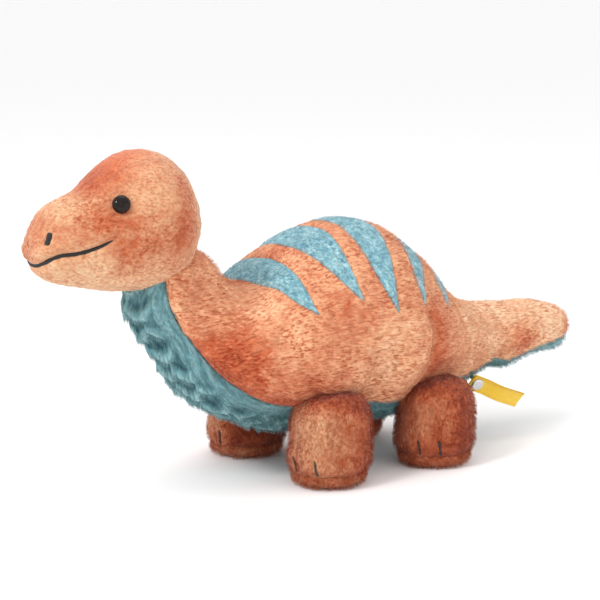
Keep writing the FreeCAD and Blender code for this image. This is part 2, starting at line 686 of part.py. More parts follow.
def toe_blocks(name, hip_y, angles):
    """Upright slots at the front of a foot, at the given angles outward from straight ahead."""
    blocks = []
    for number, angle in enumerate(angles, 1):
        centre = "sizes.leg_foot_x; %s+sizes.leg_foot_shift; sizes.toe_low" % hip_y
        blocks.append(block("%s_%d" % (name, number), centre, "rotation(vector(0;0;1); %d)" % angle,
                            "-sizes.toe_width/2; -2*sizes.leg_foot_long; 0", Length="sizes.toe_width",
                            Width="2*sizes.leg_foot_long", Height="sizes.toe_tall"))
    return fuse(name, *blocks)


def build_leg(end, toe_angles):
    """A left leg: sleeve, sole pad, toe stitches and stuffing. The right one is its mirror image."""
    hip_y = "sizes.hip_%s_y" % end
    place_name = end + "_left"
    outer = leg_form("leg_outer_" + end, hip_y, "0", "0")
    cavity = leg_form("leg_cavity_" + end, hip_y, "-sizes.fabric", "-sizes.fabric")
    proud = leg_form("leg_proud_" + end, hip_y, "sizes.thread_proud", "0")
    sunk = leg_form("leg_sunk_" + end, hip_y, "-sizes.thread_sunk", "0")
    thread = cut("leg_thread_" + end, proud, sunk)
    stitches = common("toe_stitches_" + place_name, thread, toe_blocks("toe_slots_" + end, hip_y, toe_angles))
    inset = "-sizes.fabric-sizes.play"
    pieces = [
        stitches,
        cut("leg_sleeve_" + place_name, outer, cavity, stitches),
        sole_pad("sole_pad_" + place_name, hip_y),
        leg_form("leg_stuffing_" + place_name, hip_y, inset, inset),
    ]
    return pieces + [mirror(piece, piece.Name.replace("left", "right")) for piece in pieces]


def export(pieces):
    """Check every object, then write one STEP file for each piece."""
    doc.recompute()
    failed = [thing.Name for thing in doc.Objects if {"Invalid", "Error"} & set(thing.State)]
    failed += [piece.Name for piece in pieces if piece.Shape.isNull() or not piece.Shape.isValid()]
    if failed:
        raise SystemExit("failed objects: " + ", ".join(failed))
    os.makedirs("parts", exist_ok=True)
    for piece in pieces:
        piece.Label = piece.Name
        piece.Shape.exportStep("parts/%s.step" % piece.Label)


fill_sheet()
left = block("left_half", "0; 0; 0", NO_TURN, "0; -%d; -%d" % (REACH, REACH // 4), Width=str(2 * REACH))
pieces = build_body(left)
pieces += build_head(left)
pieces += build_leg("front", FRONT_TOES)
pieces += build_leg("rear", REAR_TOES)
export(pieces)
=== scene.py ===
import json
import math

import bpy
import numpy as np
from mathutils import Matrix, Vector
from mathutils.bvhtree import BVHTree


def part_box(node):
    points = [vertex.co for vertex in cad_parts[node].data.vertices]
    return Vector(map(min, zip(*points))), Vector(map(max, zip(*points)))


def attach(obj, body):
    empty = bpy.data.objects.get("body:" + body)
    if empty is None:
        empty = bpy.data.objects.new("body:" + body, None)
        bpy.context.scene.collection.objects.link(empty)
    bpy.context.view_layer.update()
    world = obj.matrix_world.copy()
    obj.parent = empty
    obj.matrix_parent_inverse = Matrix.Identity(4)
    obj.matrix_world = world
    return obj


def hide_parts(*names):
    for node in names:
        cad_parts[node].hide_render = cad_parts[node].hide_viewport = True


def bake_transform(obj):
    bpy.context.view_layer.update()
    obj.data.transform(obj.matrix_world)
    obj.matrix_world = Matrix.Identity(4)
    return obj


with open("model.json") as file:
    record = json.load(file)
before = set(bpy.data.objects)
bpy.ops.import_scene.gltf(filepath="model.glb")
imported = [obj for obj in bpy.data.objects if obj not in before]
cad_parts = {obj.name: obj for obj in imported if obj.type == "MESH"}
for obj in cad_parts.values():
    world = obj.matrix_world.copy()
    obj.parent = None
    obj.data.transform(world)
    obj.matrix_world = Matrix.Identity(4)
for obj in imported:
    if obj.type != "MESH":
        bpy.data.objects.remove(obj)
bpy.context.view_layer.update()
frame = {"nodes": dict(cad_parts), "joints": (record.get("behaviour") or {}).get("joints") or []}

MM = 0.001
UP = np.array([0.0, 0.0, 1.0])
SCENE = bpy.context.scene

# ---------------------------------------------------------------- colours (sRGB, 0 to 255)

PALE = (240, 200, 164)
PEACH = (228, 168, 128)
RUST = (194, 100, 64)
DEEP = (140, 54, 34)
ORANGE = (220, 118, 80)
TEAL = (104, 148, 154)
TEAL_DARK = (46, 88, 98)
TEAL_LIGHT = (162, 200, 204)
SKY = (128, 174, 186)
SKY_DARK = (88, 138, 154)
SKY_LIGHT = (172, 208, 214)
THREAD_BLACK = (16, 15, 17)
RIBBON_YELLOW, RIBBON_BORDER = (244, 200, 40), (214, 150, 30)

# Painted shade: how much of its red, green and blue the fabric of the head and the legs gives back, lowered
# because less light falls on them.
HEAD_PAINTED_SHADE, LEG_PAINTED_SHADE = np.array([0.85, 0.90, 0.90]), np.array([0.76, 0.76, 0.74])


def linear(colour):
    """sRGB bytes to linear light."""
    c = np.array(colour, float) / 255
    return np.where(c <= 0.04045, c / 12.92, ((c + 0.055) / 1.055) ** 2.4)


# ---------------------------------------------------------------- small numeric helpers

def smooth_step(x, low, high):
    t = np.clip((np.asarray(x, float) - low) / (high - low), 0, 1)
    return t * t * (3 - 2 * t)


def between(x, low, high, soft):
    """1 between low and high, easing to 0 over a soft distance beyond each."""
    return smooth_step(x, low - soft, low) * (1 - smooth_step(x, high, high + soft))


def hump(distance, width):
    """1 at distance 0, falling away over about a width on either side."""
    return np.exp(-(distance / width) ** 2)


def lattice(ix, iy, iz, seed):
    """A repeatable random number from 0 to 1 for each whole-numbered point."""
    h = (ix * 374761393 + iy * 668265263 + iz * 2147483647 + seed * 1274126177) & 0xFFFFFFFF
    h = ((h ^ (h >> 13)) * 1274126177) & 0xFFFFFFFF
    h = ((h ^ (h >> 16)) * 2246822519) & 0xFFFFFFFF
    return ((h ^ (h >> 15)) & 0xFFFFFF) / float(0xFFFFFF)


def soft_noise(points, grain, seed=0):
    """Smooth noise from 0 to 1. grain is the size of a speck in metres along x, y and z."""
    p = np.asarray(points, float) / np.asarray(grain, float)
    cell = np.floor(p).astype(np.int64)
    f = p - cell
    f = f * f * (3 - 2 * f)
    total = 0
    for corner in range(8):
        dx, dy, dz = corner & 1, corner >> 1 & 1, corner >> 2 & 1
        weight = (f[..., 0] if dx else 1 - f[..., 0]) * (f[..., 1] if dy else 1 - f[..., 1])
        weight = weight * (f[..., 2] if dz else 1 - f[..., 2])
        total = total + weight * lattice(cell[..., 0] + dx, cell[..., 1] + dy, cell[..., 2] + dz, seed)
    return total


def drift(points, size, seed):
    """Smooth noise from -0.5 to 0.5, with specks of the given size in mm."""
    return soft_noise(points, (size * MM,) * 3, seed) - 0.5


def blur(values, sigma, axis=0):
    """Gaussian smoothing along one axis, with straight-line padding at both ends."""
    reach = max(1, int(3 * sigma))
    kernel = np.exp(-0.5 * (np.arange(-reach, reach + 1) / sigma) ** 2)
    kernel /= kernel.sum()
    v = np.moveaxis(np.asarray(values, float), axis, 0)
    head = 2 * v[:1] - v[1:reach + 1][::-1]
    tail = 2 * v[-1:] - v[-reach - 1:-1][::-1]
    padded = np.concatenate([head, v, tail])
    result = sum(kernel[k] * padded[k:k + len(v)] for k in range(2 * reach + 1))
    return np.moveaxis(result, 0, axis)


def at_rows(values, where):
    """Smooth cubic reading of an array at fractional rows."""
    values = np.asarray(values, float)
    where = np.clip(where, 0, len(values) - 1)
    i = np.minimum(np.floor(where).astype(int), len(values) - 2)
    f = (where - i).reshape((-1,) + (1,) * (values.ndim - 1))
    last = len(values) - 1
    a, b, c, d = (values[np.clip(i + k, 0, last)] for k in (-1, 0, 1, 2))
    return b + 0.5 * f * (c - a + f * (2 * a - 5 * b + 4 * c - d + f * (3 * (b - c) + d - a)))


def resample(grid, rows, columns):
    """Smooth reading of a grid at fractional rows and columns."""
    by_row = at_rows(grid, rows)
    return np.swapaxes(at_rows(np.swapaxes(by_row, 0, 1), columns), 0, 1)


def normals_of(grid, centres):
    """Unit normals of a grid of points, facing away from each row's centre."""
    along = np.gradient(grid, axis=0)
    across = np.gradient(grid, axis=1)
    n = np.cross(across, along)
    n /= np.maximum(np.linalg.norm(n, axis=2, keepdims=True), 1e-12)
    outward = np.sum(n * (grid - centres[:, None]), axis=2, keepdims=True)
    return np.where(outward < 0, -n, n)


def wrap(grid, count):
    """Repeat the first and the last columns of a closed grid past its ends."""
    return np.concatenate([grid[:, -count:], grid, grid[:, :count]], 1)


def closed(grid):
    """A grid whose last column joins its first, with the first column repeated at the end."""
    return np.concatenate([grid, grid[:, :1]], 1)


def closed_normals(grid, middles):
    """Normals of a grid whose last column joins its first."""
    return normals_of(wrap(grid, 3), middles)[:, 3:-3]


def tube_faces(rows, columns):
    """The quads of a closed tube of points, row after row."""
    faces = []
    for i in range(rows - 1):
        for j in range(columns):
            k = (j + 1) % columns
            faces.append((i * columns + j, i * columns + k, (i + 1) * columns + k, (i + 1) * columns + j))
    return faces


# ---------------------------------------------------------------- reading shapes off the frame

def tree_of(*names):
    """The surface of some CAD nodes, and which node each of its faces belongs to."""
    points, faces, owner = [], [], []
    for name in names:
        mesh = frame["nodes"][name].data
        base = len(points)
        points += [v.co.copy() for v in mesh.vertices]
        faces += [[base + i for i in p.vertices] for p in mesh.polygons]
        owner += [name] * len(mesh.polygons)
    return BVHTree.FromPolygons(points, faces), owner


def read_ring(tree, owner, centre, up, far, low, high):
    """Fit an ellipse to the surface round a centre. Rays run inwards from far away, from angle low to
    high (0 is up). Hits that lie deep, in a gap or a pocket, are dropped. Returns the ellipse's shift
    along up, its half height and half width, and for each angle the node hit (None if it lay deep)."""
    angles = np.radians(np.arange(low, high + 0.5, 2.0))
    across, height, names = [], [], []
    for angle in angles:
        way = Vector(up) * math.cos(angle) + Vector((1, 0, 0)) * math.sin(angle)
        spot, _, index, _ = tree.ray_cast(Vector(centre) + way * far, -way, far)
        offset = (spot - Vector(centre)) if spot else Vector((0, 0, 0))
        across.append(abs(offset.x))
        height.append(offset.dot(Vector(up)))
        names.append(owner[index] if spot else None)
    across, height = np.array(across), np.array(height)
    keep = np.hypot(across, height) > 0.002
    for _ in range(8):
        table = np.stack([np.ones(keep.sum()), height[keep], height[keep] ** 2], 1)
        c0, c1, c2 = np.linalg.lstsq(table, across[keep] ** 2, rcond=None)[0]
        c2 = min(c2, -0.05)
        shift = -c1 / (2 * c2)
        wide = math.sqrt(max(c0 - c2 * shift ** 2, 1e-8))
        tall = wide / math.sqrt(-c2)
        level = np.hypot(across / wide, (height - shift) / tall)
        better = level > 1 - 0.0008 / wide
        if better.sum() < 12 or (better == keep).all():
            break
        keep = better
    names = [name if good else None for name, good in zip(names, keep)]
    return shift, tall, wide, angles, names


def mid(node):
    low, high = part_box(node)
    return (low + high) / 2


# ---------------------------------------------------------------- soft shapes

def puff(rings, pins, grow, cap):
    """Blow up a closed tube of rings (rows, columns, xyz) as cloth under pressure, held at its pins, and
    return how far each point moved, never more than cap."""
    rows, columns = rings.shape[:2]
    vertices = [tuple(p) for p in rings.reshape(-1, 3)] + [tuple(rings[0].mean(0)), tuple(rings[-1].mean(0))]
    faces = tube_faces(rows, columns)
    first, last = rows * columns, rows * columns + 1
    for j in range(columns):
        k = (j + 1) % columns
        faces.append((first, k, j))
        faces.append((last, (rows - 1) * columns + j, (rows - 1) * columns + k))
    mesh = bpy.data.meshes.new("cloth")
    mesh.from_pydata(vertices, [], faces)
    mesh.update()
    pad = bpy.data.objects.new("cloth", mesh)
    SCENE.collection.objects.link(pad)
    bpy.context.view_layer.objects.active = pad
    pad.select_set(True)
    bpy.ops.object.mode_set(mode="EDIT")
    bpy.ops.mesh.select_all(action="SELECT")
    bpy.ops.mesh.normals_make_consistent(inside=False)
    bpy.ops.object.mode_set(mode="OBJECT")
    held = pad.vertex_groups.new(name="held")
    for index, weight in enumerate(list(pins.reshape(-1)) + [1.0, 1.0]):
        if weight > 0:
            held.add([index], float(weight), "REPLACE")
    cloth = pad.modifiers.new("Cloth", "CLOTH")
    settings = cloth.settings
    settings.quality = 5
    settings.mass = 0.1
    settings.tension_stiffness = 20
    settings.compression_stiffness = 20
    settings.shear_stiffness = 10
    settings.bending_stiffness = 0.2
    settings.use_pressure = True
    settings.uniform_pressure_force = 4
    settings.shrink_min = -grow
    settings.vertex_group_mass = "held"
    settings.pin_stiffness = 1.0
    settings.effector_weights.gravity = 0
    for number in range(1, 21):
        SCENE.frame_set(number)
    shown = pad.evaluated_get(bpy.context.evaluated_depsgraph_get())
    after = np.array([v.co for v in shown.data.vertices], float)[:rows * columns].reshape(rows, columns, 3)
    bpy.data.objects.remove(pad)
    SCENE.frame_set(1)
    move = after - rings
    far = np.linalg.norm(move, axis=2, keepdims=True)
    return move * np.minimum(1, cap / np.maximum(far, 1e-9))


def shell(name, outer, centres, thick, tint, outside=None):
    """A closed piece of fabric: the outer grid, an inner one closer to the centres, and its rims.
    tint is a colour for every outer point, and outside how long its pile is, from 0 to 1."""
    rows, columns = outer.shape[:2]
    inward = centres[:, None] - outer
    depth = np.linalg.norm(inward, axis=2, keepdims=True)
    inner = outer + inward / np.maximum(depth, 1e-9) * np.minimum(thick, 0.6 * depth)
    count = rows * columns
    index = np.arange(count).reshape(rows, columns)

    def quads(grid):
        return np.stack([grid[:-1, :-1], grid[:-1, 1:], grid[1:, 1:], grid[1:, :-1]], 2).reshape(-1, 4)

    def strip(edge):
        return np.stack([edge[:-1], edge[1:], edge[1:] + count, edge[:-1] + count], 1)

    faces = [quads(index), quads(index)[:, ::-1] + count]
    for edge in (index[0][::-1], index[-1], index[:, 0], index[:, -1][::-1]):
        faces.append(strip(edge))
    faces = np.concatenate(faces)
    mesh = bpy.data.meshes.new(name)
    points = np.concatenate([outer.reshape(-1, 3), inner.reshape(-1, 3)])
    mesh.from_pydata(points.tolist(), [], faces.tolist())
    mesh.update()
    piece = bpy.data.objects.new(name, mesh)
    SCENE.collection.objects.link(piece)
    corner = mesh.polygons[0]
    if (np.array(corner.normal) @ (np.array(corner.center) - centres[0])) < 0:
        mesh.flip_normals()
    mesh.shade_smooth()
    paint(mesh, np.concatenate([tint.reshape(-1, 3), tint.reshape(-1, 3)]))
    group = piece.vertex_groups.new(name="pile")
    weights = np.ones((rows, columns)) if outside is None else outside
    for value in (0.25, 0.5, 0.75, 1.0):
        chosen = index[np.abs(weights - value) <= 0.125]
        if len(chosen):
            group.add(chosen.tolist(), value, "REPLACE")
    return piece


def paint(mesh, colours):
    """Store a colour for each vertex, which the skin and its pile both read."""
    layer = mesh.color_attributes.new("tint", "BYTE_COLOR", "CORNER")
    loops = np.zeros(len(mesh.loops), np.int64)
    mesh.loops.foreach_get("vertex_index", loops)
    rgba = np.concatenate([np.clip(colours, 0, 1), np.ones((len(colours), 1))], 1)
    layer.data.foreach_set("color", rgba[loops].astype(np.float32).ravel())
    mesh.color_attributes.active_color = layer


def settle(piece, body, slot, *nodes):
    """Fix a piece to a body and hide the CAD nodes it stands for. slot is not used."""
    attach(piece, body)
    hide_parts(*nodes)
    return piece


def lift(grid, normals, height):
    return grid + normals * height[..., None]


def mix(low, high, share):
    return linear(low) + (linear(high) - linear(low)) * np.clip(share, 0, 1)[..., None]


def three_way(dark, middle, light, share):
    return np.where((share < 0.5)[..., None], mix(dark, middle, share * 2), mix(middle, light, share * 2 - 1))


def blend_colour(colours, other, share):
    return colours + (linear(other) - colours) * np.clip(share, 0, 1)[..., None]


def spot(points, centre, size):
    """A soft spot: 1 at its centre, fading with distance. centre and size are in mm, along x, y and z."""
    d = (points - np.array(centre) * MM) / (np.array(size) * MM)
    return np.exp(-0.5 * np.sum(d * d, axis=-1))


def patches(points, spots, sides=(1, -1)):
    """The sum of named soft spots, each (strength, centre, size) in mm, on the left side and the right."""
    return sum(strength * spot(points, (side * x, y, z), size)
               for side in sides for strength, (x, y, z), size in spots.values())


def to_path(points, path):
    """Distance in metres, in the side view, from points to a line through (y, z) corners in mm."""
    flat = points[..., 1:]
    nearest = np.full(points.shape[:-1], 1.0)
    for start, end in zip(path, path[1:]):
        a, b = np.array(start) * MM, np.array(end) * MM
        t = np.clip(((flat - a) @ (b - a)) / ((b - a) @ (b - a)), 0, 1)
        nearest = np.minimum(nearest, np.linalg.norm(flat - a - t[..., None] * (b - a), axis=-1))
    return nearest


# ---------------------------------------------------------------- pile: relief and colour

def tufts(points, grain=(1.5, 3.6, 1.5), seed=3):
    """Short strokes of pile, from 0 (between tufts) to 1 (on a tuft)."""
    sway = drift(points, 14, seed + 9)[..., None] * np.array([0, 0.0, 9.0]) * MM
    p = points + sway
    coarse = soft_noise(p, np.array(grain) * MM, seed)
    fine = soft_noise(p, np.array(grain) * 0.5 * MM, seed + 1)
    patch = soft_noise(p, np.array(grain) * 2.6 * MM, seed + 2)
    return np.clip(0.5 + 1.7 * (0.5 * coarse + 0.25 * fine + 0.25 * patch - 0.5), 0, 1)


def rust_colours(points, rust_and_shade, pile):
    """Pale peach at 0, peach at 0.4, rust at 1 and deep rust above, and a little darker between tufts as
    painted shade.
    """
    wander = 0.22 * drift(points, 13, 31) + 0.16 * drift(points, 5, 32)
    # Painted shade: the gaps between tufts are drawn darker.
    share = (rust_and_shade + wander + 0.42 * (0.5 - pile))[..., None]
    stops = [linear(colour) for colour in (PALE, PEACH, RUST, DEEP)]
    colours = stops[0] + (stops[1] - stops[0]) * np.clip(share / 0.4, 0, 1)
    colours = colours + (stops[2] - stops[1]) * np.clip((share - 0.4) / 0.6, 0, 1)
    return colours + (stops[3] - stops[2]) * np.clip((share - 1.0) / 0.5, 0, 1)


# ---------------------------------------------------------------- neck, trunk and tail

SIDES = ["neck_panel_left", "neck_panel_right", "flank_panel_left", "flank_panel_right",
         "tail_base_panel_left", "tail_base_panel_right", "tail_tip_panel_left", "tail_tip_panel_right"]
STRIPES = ["back_stripe_%d_%s" % (number, side) for number in range(1, 6) for side in ("left", "right")]
UNDERS = ["bib_panel", "belly_panel", "tail_base_underside", "tail_tip_underside"]

# The spine in the side view: centre (y, z) in mm, and how far the ribs lean back, in degrees.
SPINE = [(-100.5, 108.4, 64.9), (-88.0, 88.5, 56.6), (-77.0, 77.5, 44.3), (-62.5, 71.0, 29.3),
         (-38.0, 70.5, 15.9), (-7.5, 71.5, 8.3), (26.0, 69.5, -1.2), (51.0, 63.0, -8.3),
         (72.0, 57.0, -17.2), (90.5, 54.0, -20.6), (110.5, 53.0, -20.1), (133.0, 53.5, -13.5),
         (152.5, 52.0, -3.2), (162.5, 49.7, 12.0)]
ROW_STEP = 1.1
SIDE_COLUMNS, UNDER_COLUMNS = 241, 121
SPINE_COLUMN = SIDE_COLUMNS // 2

# The cloth that is blown up is coarser: rings along the body, and points over the back and under it.
CLOTH_RINGS, SIDE_CUTS, UNDER_CUTS = 44, 25, 13


def ups_of(lean):
    """The ribs' own up, for leans in degrees."""
    return np.stack([0 * lean, np.sin(np.radians(lean)), np.cos(np.radians(lean))], 1)


def read_body():
    """Rows down the spine: centre, up, half height, half width and the seam's angle."""
    spine = np.array(SPINE)
    length = np.concatenate([[0], np.cumsum(np.linalg.norm(np.diff(spine[:, :2], axis=0), axis=1))])
    reads = np.arange(0, length[-1], 3.0)
    every_mm = np.arange(0, length[-1], 1.0)
    path = np.stack([np.interp(every_mm, length, spine[:, k]) for k in range(3)], 1)
    path = at_rows(blur(path, 5), reads)
    tree, owner = tree_of(*(SIDES + STRIPES + UNDERS))
    rows, seam_at, seams = [], [], []
    for number, (y, z, lean) in enumerate(path):
        up = (0.0, math.sin(math.radians(lean)), math.cos(math.radians(lean)))
        shift, tall, wide, angles, names = read_ring(tree, owner, (0.0, y * MM, z * MM), up, 0.075, -178, 180)
        rows.append((shift, tall, wide))
        kinds = [(a, n in UNDERS) for a, n in zip(angles, names) if n and a >= 0]
        for (a, under_a), (b, under_b) in zip(kinds, kinds[1:]):
            if under_b and not under_a and b - a < 0.16:
                angle = (a + b) / 2
                radius = 1 / math.hypot(math.sin(angle) / wide, math.cos(angle) / tall)
                seam_at.append(number)
                seams.append(math.atan2(math.sin(angle) * radius / wide,
                                        (math.cos(angle) * radius - shift) / tall))
                break
    rows = np.array(rows)
    settled = np.array([np.median(rows[max(0, k - 2):k + 3], axis=0) for k in range(len(rows))])
    settled[0], settled[-1] = rows[0], rows[-1]
    seam = np.interp(np.arange(len(rows)), seam_at, seams)
    table = np.concatenate([path, blur(settled, 1.5) / MM, blur(seam, 2.0)[:, None]], 1)
    fine = at_rows(table, np.arange(0, len(rows) - 1, ROW_STEP / 3.0))
    up = ups_of(fine[:, 2])
    centres = np.stack([0 * fine[:, 0], fine[:, 0], fine[:, 1]], 1) + up * fine[:, 3:4]
    tall, wide, seam = fine[:, 4], fine[:, 5], fine[:, 6]
    # A rounded end inside the head, and a blunt one at the tail's tip.
    into_head = centres[0] - centres[6]
    into_head = into_head / np.linalg.norm(into_head)
    steps = np.linspace(1, 0, 12, endpoint=False)
    head_centres = centres[0] + into_head * (np.sin(steps * math.pi / 2) * 12)[:, None]
    head_scale = np.cos(steps * math.pi / 2) + 0.02
    ends = np.linspace(0, 1, 9)[1:]
    out = centres[-1] - centres[-6]
    tail_centres = centres[-1] + out / np.linalg.norm(out) * (np.sin(ends * math.pi / 2) * 2.6)[:, None]
    tail_scale = np.cos(ends * math.pi / 2) + 0.02
    centres = np.concatenate([head_centres, centres, tail_centres]) * MM
    up = np.concatenate([np.repeat(up[:1], 12, 0), up, np.repeat(up[-1:], 8, 0)])
    tall = np.concatenate([tall[0] * head_scale, tall, tall[-1] * tail_scale]) * MM
    wide = np.concatenate([wide[0] * head_scale, wide, wide[-1] * tail_scale]) * MM
    seam = np.concatenate([np.repeat(seam[:1], 12), seam, np.repeat(seam[-1:], 8)])
    whole = np.concatenate([head_scale, np.ones(len(fine)), tail_scale])
    return centres, up, tall, wide, seam, whole


def fill_out(centres, up, tall, wide, seam, whole):
    """The same rows with a fuller rump and tail, a flatter chest and the seam lower over the legs."""
    y = centres[:, 1] / MM
    top = 4.5 * between(y, 76, 158, 12) + 3.0 * between(y, 56, 74, 16)
    top = (top + 1.2 * between(y, -112, -99, 8) - 2.2 * between(y, -93, -72, 12)) * whole * MM
    base = (5.0 * between(y, 108, 158, 12) - 1.5 * between(y, -84, -34, 10)) * whole * MM
    return (centres + up * ((top - base) / 2)[:, None], up, tall + (top + base) / 2,
            wide + 1.5 * MM * between(y, 76, 158, 12) * whole, seam + 0.15 * between(y, -86, 34, 14))


def ring_points(centres, up, tall, wide, angles):
    """Points at the given angles (rows, columns) of each row's ellipse."""
    side = np.array([1.0, 0, 0])
    return (centres[:, None] + up[:, None] * (tall[:, None] * np.cos(angles))[..., None]
            + side * (wide[:, None] * np.sin(angles))[..., None])


def side_angles(seam, columns):
    return seam[:, None] * np.linspace(-1, 1, columns)[None]


def under_angles(seam, columns):
    return seam[:, None] + (2 * math.pi - 2 * seam[:, None]) * np.linspace(0, 1, columns)[None]


as_read = read_body()
centres, ups, talls, wides, seams = fill_out(*as_read)
row_count = len(centres)
side_grid = ring_points(centres, ups, talls, wides, side_angles(seams, SIDE_COLUMNS))
under_grid = ring_points(centres, ups, talls, wides, under_angles(seams, UNDER_COLUMNS))

coarse = np.linspace(0, row_count - 1, CLOTH_RINGS)
pick = np.round(coarse).astype(int)
side_cut = np.linspace(0, SIDE_COLUMNS - 1, SIDE_CUTS)
under_cut = np.linspace(0, UNDER_COLUMNS - 1, UNDER_CUTS)
last = SIDE_CUTS - 1
mirror = list(range(last, -1, -1)) + list(range(last + UNDER_CUTS - 2, last, -1))
ring = np.concatenate([side_grid[pick][:, np.round(side_cut).astype(int)],
                       under_grid[pick][:, np.round(under_cut[1:-1]).astype(int)]], 1)
pins = np.zeros(ring.shape[:2])
pins[:, [0, last]] = 1.0
pins[[0, 1, 2, -1, -2]] = 1.0
move = puff(ring, pins, 0.03, 3.0 * MM)
outward = normals_of(ring, centres[pick])
move = outward * (blur(np.sum(move * outward, axis=2, keepdims=True), 1.0) - 0.8 * MM)
move = (move + move[:, mirror] * np.array([-1, 1, 1])) / 2
where = np.interp(np.arange(row_count), coarse, np.arange(CLOTH_RINGS))
side_grid += resample(move[:, :SIDE_CUTS], where, np.linspace(0, last, SIDE_COLUMNS))
under_grid += resample(closed(move)[:, last:], where, np.linspace(0, UNDER_CUTS - 1, UNDER_COLUMNS))

side_normals = normals_of(side_grid, centres)
under_normals = normals_of(under_grid, centres)

# Folds and dents of the body in the side view, (y, z) in mm.
THIGH_FOLD = [(26.5, 80.0), (31.0, 71.0), (30.0, 62.0), (29.0, 50.0), (22.0, 38.0)]
RUMP_FOLD = [(60.0, 74.0), (66.0, 62.0), (67.0, 50.0), (66.0, 37.0)]
SHOULDER_FOLD = [(-54.0, 72.0), (-46.0, 62.0), (-38.0, 50.0), (-33.0, 44.0)]
WAIST_FOLD = [(-7.0, 72.0), (-6.0, 60.0), (-2.0, 46.0), (1.0, 37.0)]
COLLAR_FOLD = [(-82.0, 112.0), (-92.0, 96.0), (-106.0, 84.0)]

# Each fold's depth and half width, in mm.
FOLDS = [(2.4, 2.2, THIGH_FOLD), (1.5, 3.0, RUMP_FOLD), (1.2, 4.0, SHOULDER_FOLD), (0.8, 3.5, WAIST_FOLD),
         (1.2, 5.0, COLLAR_FOLD)]

# Where the stuffing stands proud: how far, where, and how wide the bulge is, in mm.
BULGES = {
    "over the thigh": (5.0, (45, 16, 49), (24, 9, 11)),
    "above the thigh": (1.0, (45, 16, 68), (20, 8, 10)),
    "over the front leg": (3.2, (45, -25, 49), (24, 17, 6)),
    "behind the thigh": (1.5, (45, 44, 54), (20, 12, 5)),
}


def folds(points, normals):
    """Sewing folds over the thigh, at the rump, shoulder, waist and collar, and the fullness beside them."""
    depth = patches(points, BULGES)
    for deep, width, path in FOLDS:
        depth -= deep * hump(to_path(points, path), width * MM)
    depth += 1.3 * (soft_noise(points, (19 * MM, 15 * MM, 24 * MM), 5) - 0.5)
    return points + normals * (depth * MM)[..., None]


LOWEST_STRIPE = 70 * MM


def stripe_edges():
    """For each stripe, the columns it spans on the left flank and its front and rear row in each."""
    tree, owner = tree_of(*([name for name in STRIPES if "left" in name] + SIDES))
    plain = ring_points(*as_read[:4], side_angles(seams, SIDE_COLUMNS))
    found = {number: {} for number in range(1, 6)}
    for i in range(12, row_count - 8):
        for j in range(SPINE_COLUMN + 1, SIDE_COLUMNS):
            if plain[i, j, 2] < LOWEST_STRIPE:
                continue
            name = owner[tree.find_nearest(Vector(plain[i, j]))[2]]
            if name.startswith("back_stripe"):
                found[int(name.split("_")[2])].setdefault(j, []).append(i)
    edges = {}
    for number, columns in found.items():
        last = SPINE_COLUMN + 1
        while last + 1 in columns:
            last += 1
        span = np.arange(SPINE_COLUMN + 1, last + 1)
        front = blur([min(columns[j]) - 0.5 for j in span], 2.5)
        rear = blur([max(columns[j]) + 0.5 for j in span], 2.5)
        edges[number] = (span, front, np.maximum(rear, front + 0.6))
    return edges


stripes = stripe_edges()
side_grid = folds(side_grid, side_normals)
side_normals = normals_of(side_grid, centres)
smooth_side, smooth_normals = side_grid.copy(), side_normals.copy()

across_step = np.linalg.norm(np.diff(side_grid, axis=1), axis=2)
from_seam = np.concatenate([np.zeros((row_count, 1)), np.cumsum(across_step, axis=1)], 1)
from_seam = np.minimum(from_seam, from_seam[:, ::-1])
from_spine = np.abs(np.arange(SIDE_COLUMNS) - SPINE_COLUMN) * across_step.mean(1)[:, None]

relief = np.zeros((row_count, SIDE_COLUMNS))
bare = np.ones((row_count, SIDE_COLUMNS))
rows_of = np.arange(row_count)[:, None]
for span, front, rear in stripes.values():
    tip = span[-1] + 0.8
    for columns in (span, 2 * SPINE_COLUMN - span):
        inside = np.minimum(rows_of - front[None], rear[None] - rows_of) * ROW_STEP * MM
        inside = np.minimum(inside, (tip - span[None]) * 1.0 * MM)
        relief[:, columns] -= 1.3 * smooth_step(inside, 0, 0.9 * MM) + 0.6 * hump(inside, 0.9 * MM)
        bare[:, columns] *= 1 - smooth_step(inside, -0.3 * MM, 0.5 * MM)
for layer in (relief, bare):
    layer[:, SPINE_COLUMN] = layer[:, SPINE_COLUMN + 1]

pile = tufts(side_grid)
relief += 0.85 * (pile - 0.5) * (0.3 + 0.7 * bare)
relief -= 1.1 * hump(from_seam, 1.1 * MM) + 0.35 * hump(from_spine, 0.8 * MM)
side_grid = lift(side_grid, side_normals, relief * MM)


# Rusty patches (and pale ones, below 0) of the body, and one of painted shade: how strong, where and how
# wide, in mm.
BODY_PATCHES = {
    "shoulder": (0.52, (30, -76, 68), (30, 12, 13)),
    "pale flank": (-0.22, (46, 10, 58), (30, 13, 16)),
    # Painted shade: the next patch darkens the flank where it meets the top of the front leg.
    "behind the front leg": (0.35, (36, -38, 50), (20, 14, 7)),
    "mid tail": (0.80, (13, 119, 49), (9, 8, 6)),
    "tail root": (0.22, (16, 101, 56), (9, 7, 7)),
    "pale neck": (-0.20, (24, -66, 92), (20, 10, 8)),
    "under the second stripe": (0.20, (40, -20, 84), (20, 12, 9)),
    "under the third stripe": (0.15, (40, 6, 92), (20, 8, 9)),
}


